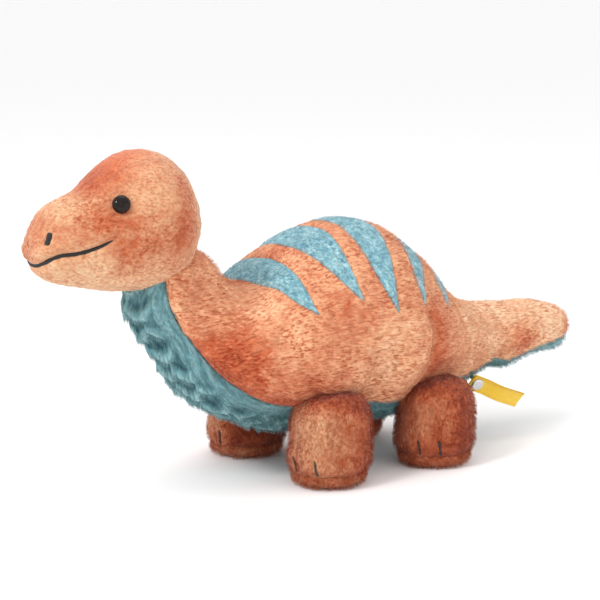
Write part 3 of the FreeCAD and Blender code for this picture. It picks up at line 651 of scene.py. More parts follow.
def body_rust_and_shade(p):
    """How rusty the fabric of the neck, trunk and tail is, from 0 to 1, with painted shade where it turns
    under at the seam, in the fold over the thigh and along the spine over the shoulders.
    """
    y, z = p[..., 1] / MM, p[..., 2] / MM
    r = 0.50 + 0.06 * smooth_step(z, 85, 115)
    # Painted shade where the lower neck and chest turn under towards the seam.
    r += 0.36 * hump(from_seam, 11 * MM) * smooth_step(-y, -20, 30) * smooth_step(-z, -90, -70)
    r += patches(p, BODY_PATCHES)
    # Painted shade in the fold over the thigh.
    r += 0.42 * hump(to_path(p, [(y + 5, z) for y, z in THIGH_FOLD[:4]]), 5 * MM)
    r += 0.22 * spot(p, (0, 47, 50), (80, 12, 8))
    r -= 0.36 * spot(p, (0, 72, 64), (60, 12, 18)) + 0.40 * smooth_step(y, 78, 98)
    # Painted shade along the spine over the shoulders, where the back turns away.
    r += 0.35 * hump(from_spine, 7 * MM) * between(y, -66, -30, 10)
    r += 0.60 * spot(p, (0, 163, 52), (20, 4, 8))
    return r


side_tint = rust_colours(side_grid, body_rust_and_shade(smooth_side), pile)

# The blue underside: overlapping scallops of long pile that point away from the head.
middle = UNDER_COLUMNS // 2
down = np.concatenate([[0], np.cumsum(np.linalg.norm(np.diff(under_grid[:, middle], axis=0), axis=1))])
step = np.linalg.norm(np.diff(under_grid, axis=1), axis=2)
over = np.concatenate([np.zeros((row_count, 1)), np.cumsum(step, axis=1)], 1)
to_edge = np.minimum(over, over[:, -1:] - over)
over = over - over[:, middle:middle + 1]
pitch = np.interp(down, [0, 0.15, 0.22, 0.27], [13.0 * MM, 13.0 * MM, 10.0 * MM, 8.0 * MM])
along = np.concatenate([[0], np.cumsum(np.diff(down) / pitch[1:])])[:, None]
along = along + 0.30 * drift(under_grid, 16, 41)
beside = over / (1.1 * pitch[:, None]) + 0.22 * drift(under_grid, 13, 42)
ridge, hollow = np.zeros_like(over), np.zeros_like(over)
for ahead in (0, -1):
    number = np.floor(along) + ahead
    offset = beside + 0.5 * (number % 2)
    sideways = offset - np.floor(offset) - 0.5
    past_rim = along - number - (1.25 - 2.0 * sideways ** 2)
    ridge = np.maximum(ridge, hump(past_rim, np.where(past_rim > 0, 0.13, 0.30)))
    hollow = np.maximum(hollow, hump(past_rim + 0.52, 0.20) * (1 - 2.6 * sideways ** 2))
unrolled = np.stack([over, along * 9 * MM, 0 * over], 2)
strands = soft_noise(unrolled, (0.9 * MM, 6 * MM, 1), 44)
wisps = soft_noise(unrolled, (2.2 * MM, 9 * MM, 1), 45)
full = smooth_step(to_edge, 5 * MM, 14 * MM)
fade = np.interp(down, [0, 0.02, 0.10, 0.16, 0.24, 0.30], [0.5, 1.0, 1.0, 0.75, 0.6, 0.7])[:, None]
fluff = (2.4 * ridge - 0.6 * hollow * (1 - ridge)) * full * fade - 0.6 * full
fluff += 0.5 * (strands - 0.5) + 0.6 * (wisps - 0.5)
fluff -= 1.3 * hump(to_edge, 1.2 * MM)
# Room for the tag when the tail wags.
fluff -= 2.2 * spot(under_grid, (12, 80, 32), (8, 7, 8))
under_grid = lift(under_grid, under_normals, fluff * MM)
# Painted highlight on the ridges of the scallops and painted shade in their hollows, with a random wander of
# tone from the strands and wisps.
shade = 0.52 + (0.36 * (ridge - 0.4) - 0.34 * hollow * (1 - ridge)) * full * fade
shade = shade + 0.30 * (strands - 0.5) + 0.20 * (wisps - 0.5)
under_tint = three_way(TEAL_DARK, TEAL, TEAL_LIGHT, shade)

# ---------------------------------------------------------------- body pieces

rows_front = int(np.argmin(np.abs(centres[:, 1] + 4 * MM)))
rows_rear = int(np.argmin(np.abs(centres[:, 1] - 108 * MM)))
SPANS = [("neck", slice(0, rows_front + 1)), ("rump", slice(rows_front, rows_rear + 1)),
         ("tail", slice(rows_rear, row_count))]

# The CAD nodes that the sides of each part stand for.
STANDS_FOR = {
    "neck": ["neck_panel_%s", "flank_panel_%s"],
    "rump": ["flank_panel_%s", "tail_base_panel_%s"],
    "tail": ["tail_tip_panel_%s", "tail_base_panel_%s"],
}
UNDER_FOR = {
    "neck": ["bib_panel", "belly_panel", "neck_stuffing"],
    "rump": ["belly_panel", "tail_base_underside", "trunk_stuffing", "tail_base_stuffing"],
    "tail": ["tail_tip_underside", "tail_tip_stuffing"],
}
THICK = 2.2 * MM


def bend(piece):
    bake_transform(piece)


body_fabrics, teal_pieces, sky_pieces = [], [], []
for part, rows in SPANS:
    for side, columns in (("right", slice(0, SPINE_COLUMN + 1)), ("left", slice(SPINE_COLUMN, SIDE_COLUMNS))):
        piece = shell("%s_side_%s" % (part, side), side_grid[rows, columns], centres[rows], THICK,
                      side_tint[rows, columns], bare[rows, columns])
        bend(piece)
        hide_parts(*[name % side for name in STANDS_FOR[part]])
        body_fabrics.append(piece)
    piece = shell("%s_underside" % part, under_grid[rows], centres[rows], THICK, under_tint[rows])
    bend(piece)
    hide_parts(*UNDER_FOR[part])
    teal_pieces.append(piece)


def stripe(number, side):
    """A tapered patch of velour let into the flank, from the spine to its tip."""
    span, front, rear = stripes[number]
    span = np.concatenate([[SPINE_COLUMN], span, [span[-1] + 0.8]]).astype(float)
    front = np.concatenate([front[:1] * 2 - front[1:2], front, [(front[-1] + rear[-1]) / 2 - 0.15]])
    rear = np.concatenate([rear[:1] * 2 - rear[1:2], rear, [(front[-1] + rear[-1]) / 2 + 0.15]])
    if side == "right":
        span = 2 * SPINE_COLUMN - span
    count = int((rear - front).max() * ROW_STEP) + 4
    share = np.linspace(0, 1, count)
    rows = front[:, None] + (rear - front)[:, None] * share[None]

    def read(grid):
        lines = [at_rows(at_rows(grid.swapaxes(0, 1), np.array([column]))[0], line)
                 for column, line in zip(span, rows)]
        return np.array(lines)

    points, normals = read(smooth_side), read(smooth_normals)
    edge = np.minimum(rows - front[:, None], rear[:, None] - rows) * ROW_STEP * MM
    height = 0.45 * (1 - np.exp(-edge / (1.0 * MM))) - 0.75 * np.exp(-edge / (0.6 * MM))
    nap = tufts(points, (1.2, 1.2, 1.2), 61)
    height += 0.45 * (nap - 0.5) * smooth_step(edge, 0, 1.0 * MM)
    points = lift(points, normals, height * MM)
    # The velour's nap mottles its blue, and is painted lighter where it is raised as a highlight and darker
    # in its dips as shade.
    tint = three_way(SKY_DARK, SKY, SKY_LIGHT, nap)
    rows_at = np.clip(rows.mean(1), 0, row_count - 1)
    node = "back_stripe_%d_%s" % (number, side)
    piece = shell(node + "_velour", points, at_rows(centres, rows_at), 1.4 * MM, tint)
    return settle(piece, "trunk", "light_blue_velour", node)


for number in range(1, 6):
    for side in ("left", "right"):
        sky_pieces.append(stripe(number, side))


# ---------------------------------------------------------------- head

HEAD_COLUMNS = 220
HEAD_STEP = 1.0
HEAD_RINGS, HEAD_CUTS = 20, 22
GUSSET_HALF = 9.0 * MM


def rounded(row, reach, ends):
    """Rows that round off one end of the head, from its last full row out to its tip."""
    scale = np.cos(ends * math.pi / 2) + 0.02
    return np.stack([row[0] + reach * np.sin(ends * math.pi / 2), row[1] + 0 * ends,
                     row[2] * scale, row[3] * scale], 1)


def read_head():
    """Rows from the nose to the nape: centre, half height and half width, rounded off at both ends."""
    panels = ["head_side_left", "head_side_right", "head_gusset", "chin_panel"]
    tree, owner = tree_of(*panels)
    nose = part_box("head_gusset")[0].y / MM
    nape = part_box("head_gusset")[1].y / MM
    reads = np.arange(nose + 0.6, nape - 0.6, 2.0)
    rows = []
    for y in reads:
        half = 178 if y < -120 else 100
        shift, tall, wide, _, _ = read_ring(tree, owner, (0, y * MM, 0.128), (0, 0, 1), 0.06, -half, half)
        rows.append((y, 128 + shift / MM, tall / MM, wide / MM))
    rows = blur(np.array(rows), 0.8)
    fine = at_rows(rows, np.arange(0, len(rows) - 1 + 1e-6, HEAD_STEP / 2))
    ends = np.linspace(1, 0, 10, endpoint=False)
    return np.concatenate([rounded(fine[0], -2.2, ends), fine, rounded(fine[-1], 1.6, ends)[::-1]])


head_rows = read_head()
head_rows[:, 1:] = blur(head_rows[:, 1:], 1.5)
head_rows[:, 2:] = np.maximum(head_rows[:, 2:], 0.15)
head_centres = np.stack([0 * head_rows[:, 0], head_rows[:, 0], head_rows[:, 1]], 1) * MM
head_count = len(head_rows)
around = np.linspace(0, 2 * math.pi, HEAD_COLUMNS, endpoint=False)
upright = np.repeat(UP[None], head_count, 0)


head_grid = ring_points(head_centres, upright, head_rows[:, 2] * MM, head_rows[:, 3] * MM,
                        np.repeat(around[None], head_count, 0))


coarse = np.linspace(0, head_count - 1, HEAD_RINGS)
pick = np.round(coarse).astype(int)
columns = np.arange(0, HEAD_COLUMNS, HEAD_COLUMNS // HEAD_CUTS)
ring = head_grid[pick][:, columns]
pins = np.zeros(ring.shape[:2])
pins[[0, 1, -1]] = 1.0
move = puff(ring, pins, 0.01, 2.0 * MM)
move -= closed_normals(ring, head_centres[pick]) * 0.6 * MM
mirrored = np.concatenate([move[:, :1], move[:, :0:-1]], 1) * np.array([-1, 1, 1])
move = (move + mirrored) / 2
where = np.interp(np.arange(head_count), coarse, np.arange(HEAD_RINGS))
head_grid += resample(wrap(move, 4), where, 4 + np.arange(HEAD_COLUMNS) * len(columns) / HEAD_COLUMNS)

head_normals = closed_normals(head_grid, head_centres)


def node_points(name):
    return np.array([v.co for v in frame["nodes"][name].data.vertices], float)


def mouth_line():
    """The mouth's stitching from its left corner round the snout to its right corner, as (x, y, z)."""
    points = node_points("mouth_stitch")
    pivot = points[:, 1].max() - 6 * MM
    turn = np.arctan2(points[:, 0], -(points[:, 1] - pivot))
    widest = np.abs(turn).max()
    steps = np.linspace(-widest * 0.99, widest * 0.99, 61)
    line = []
    for angle in steps:
        near = points[np.abs(turn - angle) < widest / 40]
        line.append(near.mean(0) if len(near) else (np.nan,) * 3)
    line = np.array(line)
    for k in range(3):
        good = ~np.isnan(line[:, k])
        line[:, k] = np.interp(steps, steps[good], line[good, k])
    line = (line + line[::-1] * np.array([-1, 1, 1])) / 2
    return blur(line, 1.0)


mouth = mouth_line()
eyes = {side: np.array(mid("eye_" + side)) for side in ("left", "right")}
nostrils = {side: np.array(mid("nostril_stitch_" + side)) for side in ("left", "right")}


def near_line(points, line):
    """Distance in metres from points to a polyline in space."""
    nearest = np.full(points.shape[:-1], 1.0)
    for a, b in zip(line, line[1:]):
        t = np.clip(((points - a) @ (b - a)) / max((b - a) @ (b - a), 1e-12), 0, 1)
        nearest = np.minimum(nearest, np.linalg.norm(points - a - t[..., None] * (b - a), axis=-1))
    return nearest


# Where the stuffing of the head stands proud: how far, where, and how wide, in mm.
HEAD_BULGES = {
    "brow": (0.9, (20, -137, 151), (9, 7, 4)),
    "cheek": (1.0, (24, -122, 124), (12, 9, 9)),
}
TOP_BULGES = {
    "crown": (1.8, (0, -126, 160), (20, 18, 8)),
    "bridge of the nose": (0.8, (0, -150, 146), (14, 10, 7)),
}


def head_shape(points, normals):
    """Dents at the mouth, eyes and nostrils, the fold under the cheek, and full cheeks and brows."""
    depth = patches(points, HEAD_BULGES) + patches(points, TOP_BULGES, sides=(1,))
    depth -= 1.5 * hump(near_line(points, mouth), 2.0 * MM)
    mouth_z = np.interp(points[..., 1], mouth[:31, 1][::-1], mouth[:31, 2][::-1]) / MM
    z = points[..., 2] / MM
    depth += 0.9 * hump(z - mouth_z - 5.5, 3.5) * smooth_step(-points[..., 1] / MM, 128, 140)
    for side in ("left", "right"):
        depth -= 1.4 * hump(np.linalg.norm(points - eyes[side], axis=-1), 6.5 * MM)
        depth -= 0.9 * hump(np.linalg.norm(points - nostrils[side], axis=-1), 4.0 * MM)
    sides = smooth_step(np.abs(points[..., 0]), 8 * MM, 14 * MM)
    cheek = to_path(points, [(-134.0, 125.0), (-131.0, 117.0), (-132.0, 108.0)])
    depth -= hump(cheek, 2.4 * MM) * sides
    return points + normals * (depth * MM)[..., None]


head_grid = head_shape(head_grid, head_normals)
head_normals = closed_normals(head_grid, head_centres)
smooth_head = head_grid.copy()
head_tree = BVHTree.FromPolygons([Vector(p) for p in head_grid.reshape(-1, 3)],
                                 tube_faces(head_count, HEAD_COLUMNS))

clear = np.ones(head_grid.shape[:2])
for side in ("left", "right"):
    clear *= smooth_step(np.linalg.norm(smooth_head - eyes[side], axis=-1), 4.2 * MM, 7.5 * MM)
    clear *= smooth_step(np.linalg.norm(smooth_head - nostrils[side], axis=-1), 2.2 * MM, 4.5 * MM)
clear *= smooth_step(near_line(smooth_head, mouth), 1.0 * MM, 2.6 * MM)
head_pile = tufts(head_grid, (1.4, 2.4, 1.4), 71)
head_relief = 0.75 * (head_pile - 0.5) * clear
top_seam = np.abs(np.abs(smooth_head[..., 0]) - GUSSET_HALF)
low = smooth_head[..., 2] < head_centres[:, None, 2]
head_relief -= 0.45 * hump(top_seam, 0.8 * MM) * np.where(low, 0.8, 1.0)
head_grid = lift(head_grid, head_normals, head_relief * MM)


# Rusty and pale patches of the head, as for the body.
HEAD_PATCHES = {
    "cheek": (0.42, (26, -118, 124), (9, 11, 9)),
    "in front of the eye": (0.50, (22, -138, 135), (8, 10, 5)),
    "above the eye": (0.62, (9, -139, 157), (13, 10, 9)),
    "back of the head": (0.48, (30, -99, 138), (12, 6, 18)),
    "side of the snout": (0.16, (22, -152, 128), (8, 12, 8)),
    "pale jaw": (-0.20, (20, -142, 108), (14, 18, 6)),
}
SNOUT_PATCHES = {
    "nose": (0.40, (0, -167, 134), (13, 5, 9)),
    "pale bridge of the nose": (-0.24, (0, -153, 144), (13, 9, 6)),
}


def head_rust_and_shade(p):
    """How rusty the fabric of the head is, from 0 to 1, with painted shade in the fold under the cheek."""
    r = 0.46 + patches(p, HEAD_PATCHES) + patches(p, SNOUT_PATCHES, sides=(1,))
    # Painted shade in the fold under the cheek.
    r += 0.24 * hump(to_path(p, [(-133.0, 124.0), (-131.0, 110.0)]), 5 * MM)
    return r - 0.15 * smooth_step(p[..., 1], -94 * MM, -86 * MM)


head_tint = rust_colours(head_grid, head_rust_and_shade(smooth_head), head_pile)
crown = spot(smooth_head, (0, -132, 163), (17, 14, 9)) + 0.6 * spot(smooth_head, (0, -114, 165), (10, 9, 5))
# Painted shade: the head's colours are darkened as a whole.
head_tint = blend_colour(head_tint, ORANGE, 0.7 * crown) * HEAD_PAINTED_SHADE

gusset_turn = np.arcsin(np.clip(GUSSET_HALF / (head_rows[:, 3] * MM), 0, 0.8)) / (2 * math.pi) * HEAD_COLUMNS
gusset_turn = int(round(np.median(gusset_turn)))
half_turn = HEAD_COLUMNS // 2
HEAD_PIECES = [
    ("head_gusset_fabric", -gusset_turn, gusset_turn, ["head_gusset"]),
    ("head_side_left_fabric", gusset_turn, half_turn - gusset_turn, ["head_side_left", "head_stuffing"]),
    ("chin_fabric", half_turn - gusset_turn, half_turn + gusset_turn, ["chin_panel"]),
    ("head_side_right_fabric", half_turn + gusset_turn, HEAD_COLUMNS - gusset_turn, ["head_side_right"]),
]
head_fabrics = []
for name, first, last, nodes in HEAD_PIECES:
    columns = np.arange(first, last + 1) % HEAD_COLUMNS
    piece = shell(name, head_grid[:, columns], head_centres, THICK, head_tint[:, columns], clear[:, columns])
    head_fabrics.append(settle(piece, "head", "rust_peach_plush", *nodes))

# ---------------------------------------------------------------- legs

LEG_COLUMNS, LEG_RINGS = 112, 14
SOLE_TOP = 6.4
SOLE_THICK = 1.8 * MM


def read_leg(place):
    """Grid of a left leg: rows from the foot's seam up over its rounded top."""
    sleeve = "leg_sleeve_%s_left" % place
    tree, _ = tree_of(sleeve)
    low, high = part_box(sleeve)
    swing = next(j for j in frame["joints"] if j["name"] == "leg_swing_%s_left" % place)
    hip = np.array([(low.x + high.x) / 2, (low.y + high.y) / 2, swing["pos_m"][2]])
    turns = np.linspace(0, 2 * math.pi, LEG_COLUMNS, endpoint=False)
    heights = np.arange(SOLE_TOP, hip[2] / MM, 1.1) * MM
    rises = np.radians(np.arange(0, 88, 3.0))[1:]
    rows, middles = [], []
    for height, rise in [(h, 0) for h in heights] + [(hip[2], r) for r in rises]:
        middle = np.array([hip[0], hip[1], height])
        row = []
        for turn in turns:
            way = Vector((math.sin(turn) * math.cos(rise), -math.cos(turn) * math.cos(rise), math.sin(rise)))
            spot_hit, _, _, _ = tree.ray_cast(Vector(middle) + way * 0.06, -way, 0.06)
            row.append(np.array(spot_hit))
        rows.append(row)
        middles.append(middle)
    return np.array(rows), np.array(middles), hip


def sleeve_shape(place):
    """A left leg's surface, blown up a little, with a narrower and flatter top."""
    grid, middles, hip = read_leg(place)
    grid = blur(blur(wrap(grid, 8), 1.5, 1)[:, 8:-8], 1.5)
    rows = len(grid)
    coarse = np.linspace(0, rows - 1, LEG_RINGS)
    pick = np.round(coarse).astype(int)
    ring = grid[pick][:, ::4]
    pins = np.zeros(ring.shape[:2])
    pins[[0, -1]] = 1.0
    move = puff(ring, pins, 0.02, 2.0 * MM) - closed_normals(ring, middles[pick]) * 2.0 * MM
    where = np.interp(np.arange(rows), coarse, np.arange(LEG_RINGS))
    grid = grid + resample(wrap(move, 4), where, 4 + np.arange(LEG_COLUMNS) / 4.0)
    taper = (1 - 0.08 * smooth_step(grid[..., 2], 24 * MM, 46 * MM))[..., None]
    grid = np.where([1, 1, 0], hip + (grid - hip) * taper, grid)
    grid[..., 2] -= 0.5 * np.maximum(grid[..., 2] - 41 * MM, 0)
    normals = closed_normals(grid, middles)
    rise = np.arange(rows)[:, None] * 1.1
    relief = -0.7 * hump(rise, 1.5) + 0.9 * hump(rise - 7, 6.0) + 1.6 * drift(grid, 15, 81)
    grid = lift(grid, normals, relief * MM)
    return grid, closed_normals(grid, middles), middles


def sole_shape(place, edge):
    """The foot: a padded roll under the sleeve's lowest row, flat where it stands. With its middles,
    and how far each point is clear of the floor, from 0 to 1."""
    sole_low, sole_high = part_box("sole_pad_%s_left" % place)
    sole_mid = np.array([(sole_low.x + sole_high.x) / 2, (sole_low.y + sole_high.y) / 2, 0])
    edge = edge - np.array([0, 0, 1]) * edge[:, 2:]
    roll = [(SOLE_TOP + 0.4, -0.8), (SOLE_TOP - 0.2, -0.1), (5.2, 0.25), (4.0, 0.1), (2.8, -0.5),
            (1.6, -1.6), (0.8, -2.9), (0.25, -4.6), (0.0, -6.5)]
    profile = roll + [(0.0, -8.0 - 1.3 * k) for k in range(9)]
    way = edge - sole_mid
    reach = np.linalg.norm(way, axis=1, keepdims=True)
    rows = np.array([sole_mid + way / reach * (reach + out * MM) + UP * height * MM
                     for height, out in profile])
    grid = resample(rows, np.linspace(0, len(profile) - 1, 44), np.arange(LEG_COLUMNS))
    middles = np.repeat((sole_mid + UP * 3 * MM)[None], len(grid), 0)
    nap = tufts(grid, (1.6, 1.6, 1.6), 85)
    above = smooth_step(grid[..., 2], 0.1 * MM, 1.5 * MM)
    grid = lift(grid, closed_normals(grid, middles), 0.8 * (nap - 0.5) * above * MM)
    grid[..., 2] = np.maximum(grid[..., 2], 0)
    # Painted shade: the sole's colours are darkened as a whole, as the legs' are.
    return grid, middles, above, rust_colours(grid, 0.90 + 0 * nap, nap) * LEG_PAINTED_SHADE


def leg_pieces(place):
    """Both legs of a pair: the fabric and the sole of each. Returns what the toe stitches lie on."""
    grid, normals, middles = sleeve_shape(place)
    smooth = grid
    fur = tufts(grid, (1.5, 1.6, 2.4), 83)
    grid = lift(grid, normals, 0.9 * (fur - 0.5) * MM)
    # Painted light: the side facing forward, outward and up, towards the lamps, is made paler.
    front = np.clip(np.sum(normals * np.array([0.45, -0.85, 0.25]), axis=2), 0, 1)
    # Painted light and shade: paler on that lit side, and rustier towards the top of the leg, in the shade
    # under the body.
    rust = 1.22 - 0.66 * front + 0.40 * smooth_step(smooth[..., 2], 32 * MM, 46 * MM)
    # Rear legs rustier, and painted shade on the inner side, between the legs.
    rust = rust + (0.30 if place == "rear" else 0) + 0.20 * smooth_step(-normals[..., 0], 0.1, 0.6)
    rust = np.minimum(rust, 1.25)
    # Painted shade: the leg's colours are darkened as a whole.
    tint = rust_colours(grid, rust, fur) * LEG_PAINTED_SHADE
    sole_grid, sole_middles, above, sole_tint = sole_shape(place, smooth[0])
    made = []
    for side, sign in (("left", 1), ("right", -1)):
        flip = np.array([sign, 1, 1])
        body = "leg_%s_%s" % (place, side)
        piece = shell(body + "_fabric", closed(grid) * flip, middles * flip, THICK, closed(tint))
        settle(piece, body, "rust_peach_plush",
               "leg_sleeve_%s_%s" % (place, side), "leg_stuffing_%s_%s" % (place, side))
        sole = shell("sole_%s_%s_fabric" % (place, side), closed(sole_grid) * flip, sole_middles * flip,
                     SOLE_THICK, closed(sole_tint), closed(above))
        settle(sole, body, "rust_peach_plush", "sole_pad_%s_%s" % (place, side))
        leg_fabrics.extend([piece, sole])
        made.append((side, flip, body))
    return smooth, normals, middles, made


leg_fabrics = []
legs = {place: leg_pieces(place) for place in ("front", "rear")}


# ---------------------------------------------------------------- stitches

def satin(name, line, outward, width, height, pitch):
    """Satin stitching along a line: a low ridge made of threads laid side by side across it."""
    line, outward = np.array(line), np.array(outward)
    length = np.concatenate([[0], np.cumsum(np.linalg.norm(np.diff(line, axis=0), axis=1))])
    steps = np.arange(0, length[-1], pitch / 5)
    where = np.interp(steps, length, np.arange(len(line)))
    path, out = at_rows(line, where), at_rows(outward, where)
    out /= np.linalg.norm(out, axis=1, keepdims=True)
    along = np.gradient(path, axis=0)
    along /= np.linalg.norm(along, axis=1, keepdims=True)
    across = np.cross(along, out)
    spread = np.linspace(-1, 1, 11)
    thread = np.abs(np.sin(math.pi * steps / pitch))
    wobble = 1 + 0.18 * (lattice(np.floor(steps / pitch).astype(np.int64), 0, 0, 91) - 0.5)
    ends = np.sqrt(np.clip(1 - (2 * steps / steps[-1] - 1) ** 8, 0.02, 1))
    tall = height * (0.72 + 0.28 * thread) * ends
    half = width / 2 * wobble * ends
    grid = (path[:, None] + across[:, None] * (half[:, None] * spread)[..., None]
            + out[:, None] * (tall[:, None] * np.sqrt(1 - 0.94 * spread ** 2) - 0.25 * height)[..., None])
    return shell(name, grid, path - out * 3 * MM, 0.9 * MM, np.broadcast_to(linear(THREAD_BLACK), grid.shape))


def on_head(points, middle):
    """Move points to the head's surface along lines from a middle point, with the surface's normals."""
    spots, normals = [], []
    for p in points:
        way = (Vector(p) - Vector(middle)).normalized()
        hit, normal, _, _ = head_tree.ray_cast(Vector(middle) + way * 0.09, -way, 0.09)
        normal = normal if normal.dot(way) > 0 else -normal
        spots.append(np.array(hit))
        normals.append(np.array(normal))
    return np.array(spots), blur(np.array(normals), 1.5)


FINE_PITCH, COARSE_PITCH = 0.42 * MM, 0.75 * MM
thread_pieces = []
mouth_middle = np.array([0, mouth[:, 1].max() + 2 * MM, mouth[:, 2].mean() + 2 * MM])
spots, outs = on_head(mouth, mouth_middle)
piece = satin("mouth_satin_stitch", blur(spots, 1.0), outs, 2.1 * MM, 1.1 * MM, FINE_PITCH)
thread_pieces.append(settle(piece, "head", "black_thread", "mouth_stitch"))

for side in ("left", "right"):
    low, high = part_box("nostril_stitch_" + side)
    tall = (high.z - low.z) / 2
    top = nostrils[side] + np.array([0, 0.8 * MM, tall * 0.95])
    base = nostrils[side] - np.array([0, 0.8 * MM, tall * 0.95])
    line = [base + (top - base) * t for t in np.linspace(0, 1, 9)]
    spots, outs = on_head(line, (0, nostrils[side][1] + 14 * MM, nostrils[side][2] - 2 * MM))
    piece = satin("nostril_satin_%s" % side, spots, outs, 2.9 * MM, 1.0 * MM, FINE_PITCH)
    thread_pieces.append(settle(piece, "head", "black_thread", "nostril_stitch_" + side))

for place in ("front", "rear"):
    smooth, normals, middles, made = legs[place]
    points = node_points("toe_stitches_%s_left" % place)
    hip = middles[0]
    turns = np.sort(np.arctan2(points[:, 0] - hip[0], -(points[:, 1] - hip[1])))
    gap = int(np.argmax(np.diff(turns)))
    toes = (turns[:gap + 1].mean(), turns[gap + 1:].mean())
    low, high = points[:, 2].min(), points[:, 2].max()
    for side, flip, body in made:
        for number, toe in enumerate(toes, 1):
            column = (toe % (2 * math.pi)) / (2 * math.pi) * LEG_COLUMNS
            heights = np.linspace(low, high, 12)
            rows = np.interp(heights, smooth[:, 0, 2], np.arange(len(smooth)))
            lean = column + 1.2 * np.linspace(0.5, -0.5, 12)
            line = np.array([at_rows(at_rows(smooth, [r])[0], [c])[0] for r, c in zip(rows, lean)])
            outs = np.array([at_rows(at_rows(normals, [r])[0], [c])[0] for r, c in zip(rows, lean)])
            piece = satin("toe_stitch_%s_%s_%d" % (place, side, number), line * flip, outs * flip,
                          1.5 * MM, 0.95 * MM, COARSE_PITCH)
            settle(piece, body, "black_thread", "toe_stitches_%s_%s" % (place, side))
            thread_pieces.append(piece)

# ---------------------------------------------------------------- ribbon tag

def ribbon():
    """A folded woven ribbon: two layers with a loop at the free end, bowed a little, with corded edges."""
    points = node_points("tag_ribbon")
    middle = points.mean(0)
    _, _, axes = np.linalg.svd(points - middle, full_matrices=False)
    along, wide, thick = axes
    rivet = np.array(mid("rivet_cap"))
    reach = [(points - middle) @ axis for axis in axes]
    middle = middle + sum(axis * (r.max() + r.min()) / 2 for axis, r in zip(axes, reach))
    half = (reach[0].max() - reach[0].min()) / 2
    half_wide = (reach[1].max() - reach[1].min()) / 2
    if (middle - rivet) @ along < 0:
        along = -along
    if (rivet - middle) @ thick < 0:
        thick = -thick
    gap = 0.55 * MM
    run = np.linspace(0, 1, 90)
    layer_one = [(-half + 2 * half * t, gap) for t in run]
    loop = [(half + gap * math.sin(a), gap * math.cos(a)) for a in np.linspace(0, math.pi, 9)[1:-1]]
    layer_two = [(half - 2 * half * t, -gap) for t in run]
    line = np.array(layer_one + loop + layer_two)
    spread = np.linspace(-1, 1, 29)
    share = (line[:, 0] + half) / (2 * half)
    bow = 1.4 * MM * np.sin(share * math.pi * 1.1) * smooth_step(share, 0.25, 0.6)
    cord = 0.13 * MM * (np.abs(spread) > 0.90)
    cup = 0.35 * MM * spread ** 2
    side_of = np.sign(line[:, 1])
    rib = 0.04 * MM * np.sin(np.arange(len(line)) * math.pi / 2)
    height = line[:, 1][:, None] + bow[:, None] + cup[None] + side_of[:, None] * (cord[None] + rib[:, None])
    grid = (middle + line[:, 0][:, None, None] * along + (spread * half_wide)[None, :, None] * wide
            + height[..., None] * thick)
    inner_line = middle + line[:, 0][:, None] * along * 0.999 + bow[:, None] * thick
    border = (np.abs(np.abs(spread) - 0.80) < 0.045)[None, :, None]
    tint = np.where(border, linear(RIBBON_BORDER), np.broadcast_to(linear(RIBBON_YELLOW), grid.shape))
    piece = shell("ribbon_tag", grid, inner_line, 0.38 * MM, tint)
    return settle(piece, "tag", "yellow_ribbon", "tag_ribbon")


ribbon_piece = ribbon()

# ---------------------------------------------------------------- materials

# How the noise is stretched along x, y and z: long strokes where a factor is small.
BODY_STRETCH, HEAD_STRETCH, LEG_STRETCH = (1, 0.26, 1), (1, 0.55, 0.9), (1, 0.8, 0.65)
LONG_STRETCH, EVEN = (1, 0.6, 0.45), (1, 1, 1)


def new_material(name):
    material = bpy.data.materials.new(name)
    material.use_nodes = True
    return material, material.node_tree.nodes, material.node_tree.links


def speckle(nodes, links, scale, stretch, detail=2.0):
    """Noise in the toy's own coordinates. scale is in cycles per metre."""
    where = nodes.new("ShaderNodeTexCoord")
    mapping = nodes.new("ShaderNodeMapping")
    mapping.inputs["Scale"].default_value = stretch
    noise = nodes.new("ShaderNodeTexNoise")
    noise.inputs["Scale"].default_value = scale
    noise.inputs["Detail"].default_value = detail
    links.new(where.outputs["Object"], mapping.inputs["Vector"])
    links.new(mapping.outputs["Vector"], noise.inputs["Vector"])
    return noise.outputs["Fac"]


def scaled(nodes, links, factor, low, high, from_low=0.3, from_high=0.7):
    ramp = nodes.new("ShaderNodeMapRange")
    for socket, value in zip(("From Min", "From Max", "To Min", "To Max"), (from_low, from_high, low, high)):
        ramp.inputs[socket].default_value = value
    links.new(factor, ramp.inputs["Value"])
    return ramp.outputs["Result"]


def times(nodes, links, colour, factor):
    product = nodes.new("ShaderNodeVectorMath")
    product.operation = "SCALE"
    links.new(colour, product.inputs[0])
    links.new(factor, product.inputs["Scale"])
    return product.outputs["Vector"]


def tint_of(nodes):
    attribute = nodes.new("ShaderNodeVertexColor")
    attribute.layer_name = "tint"
    return attribute.outputs["Color"]


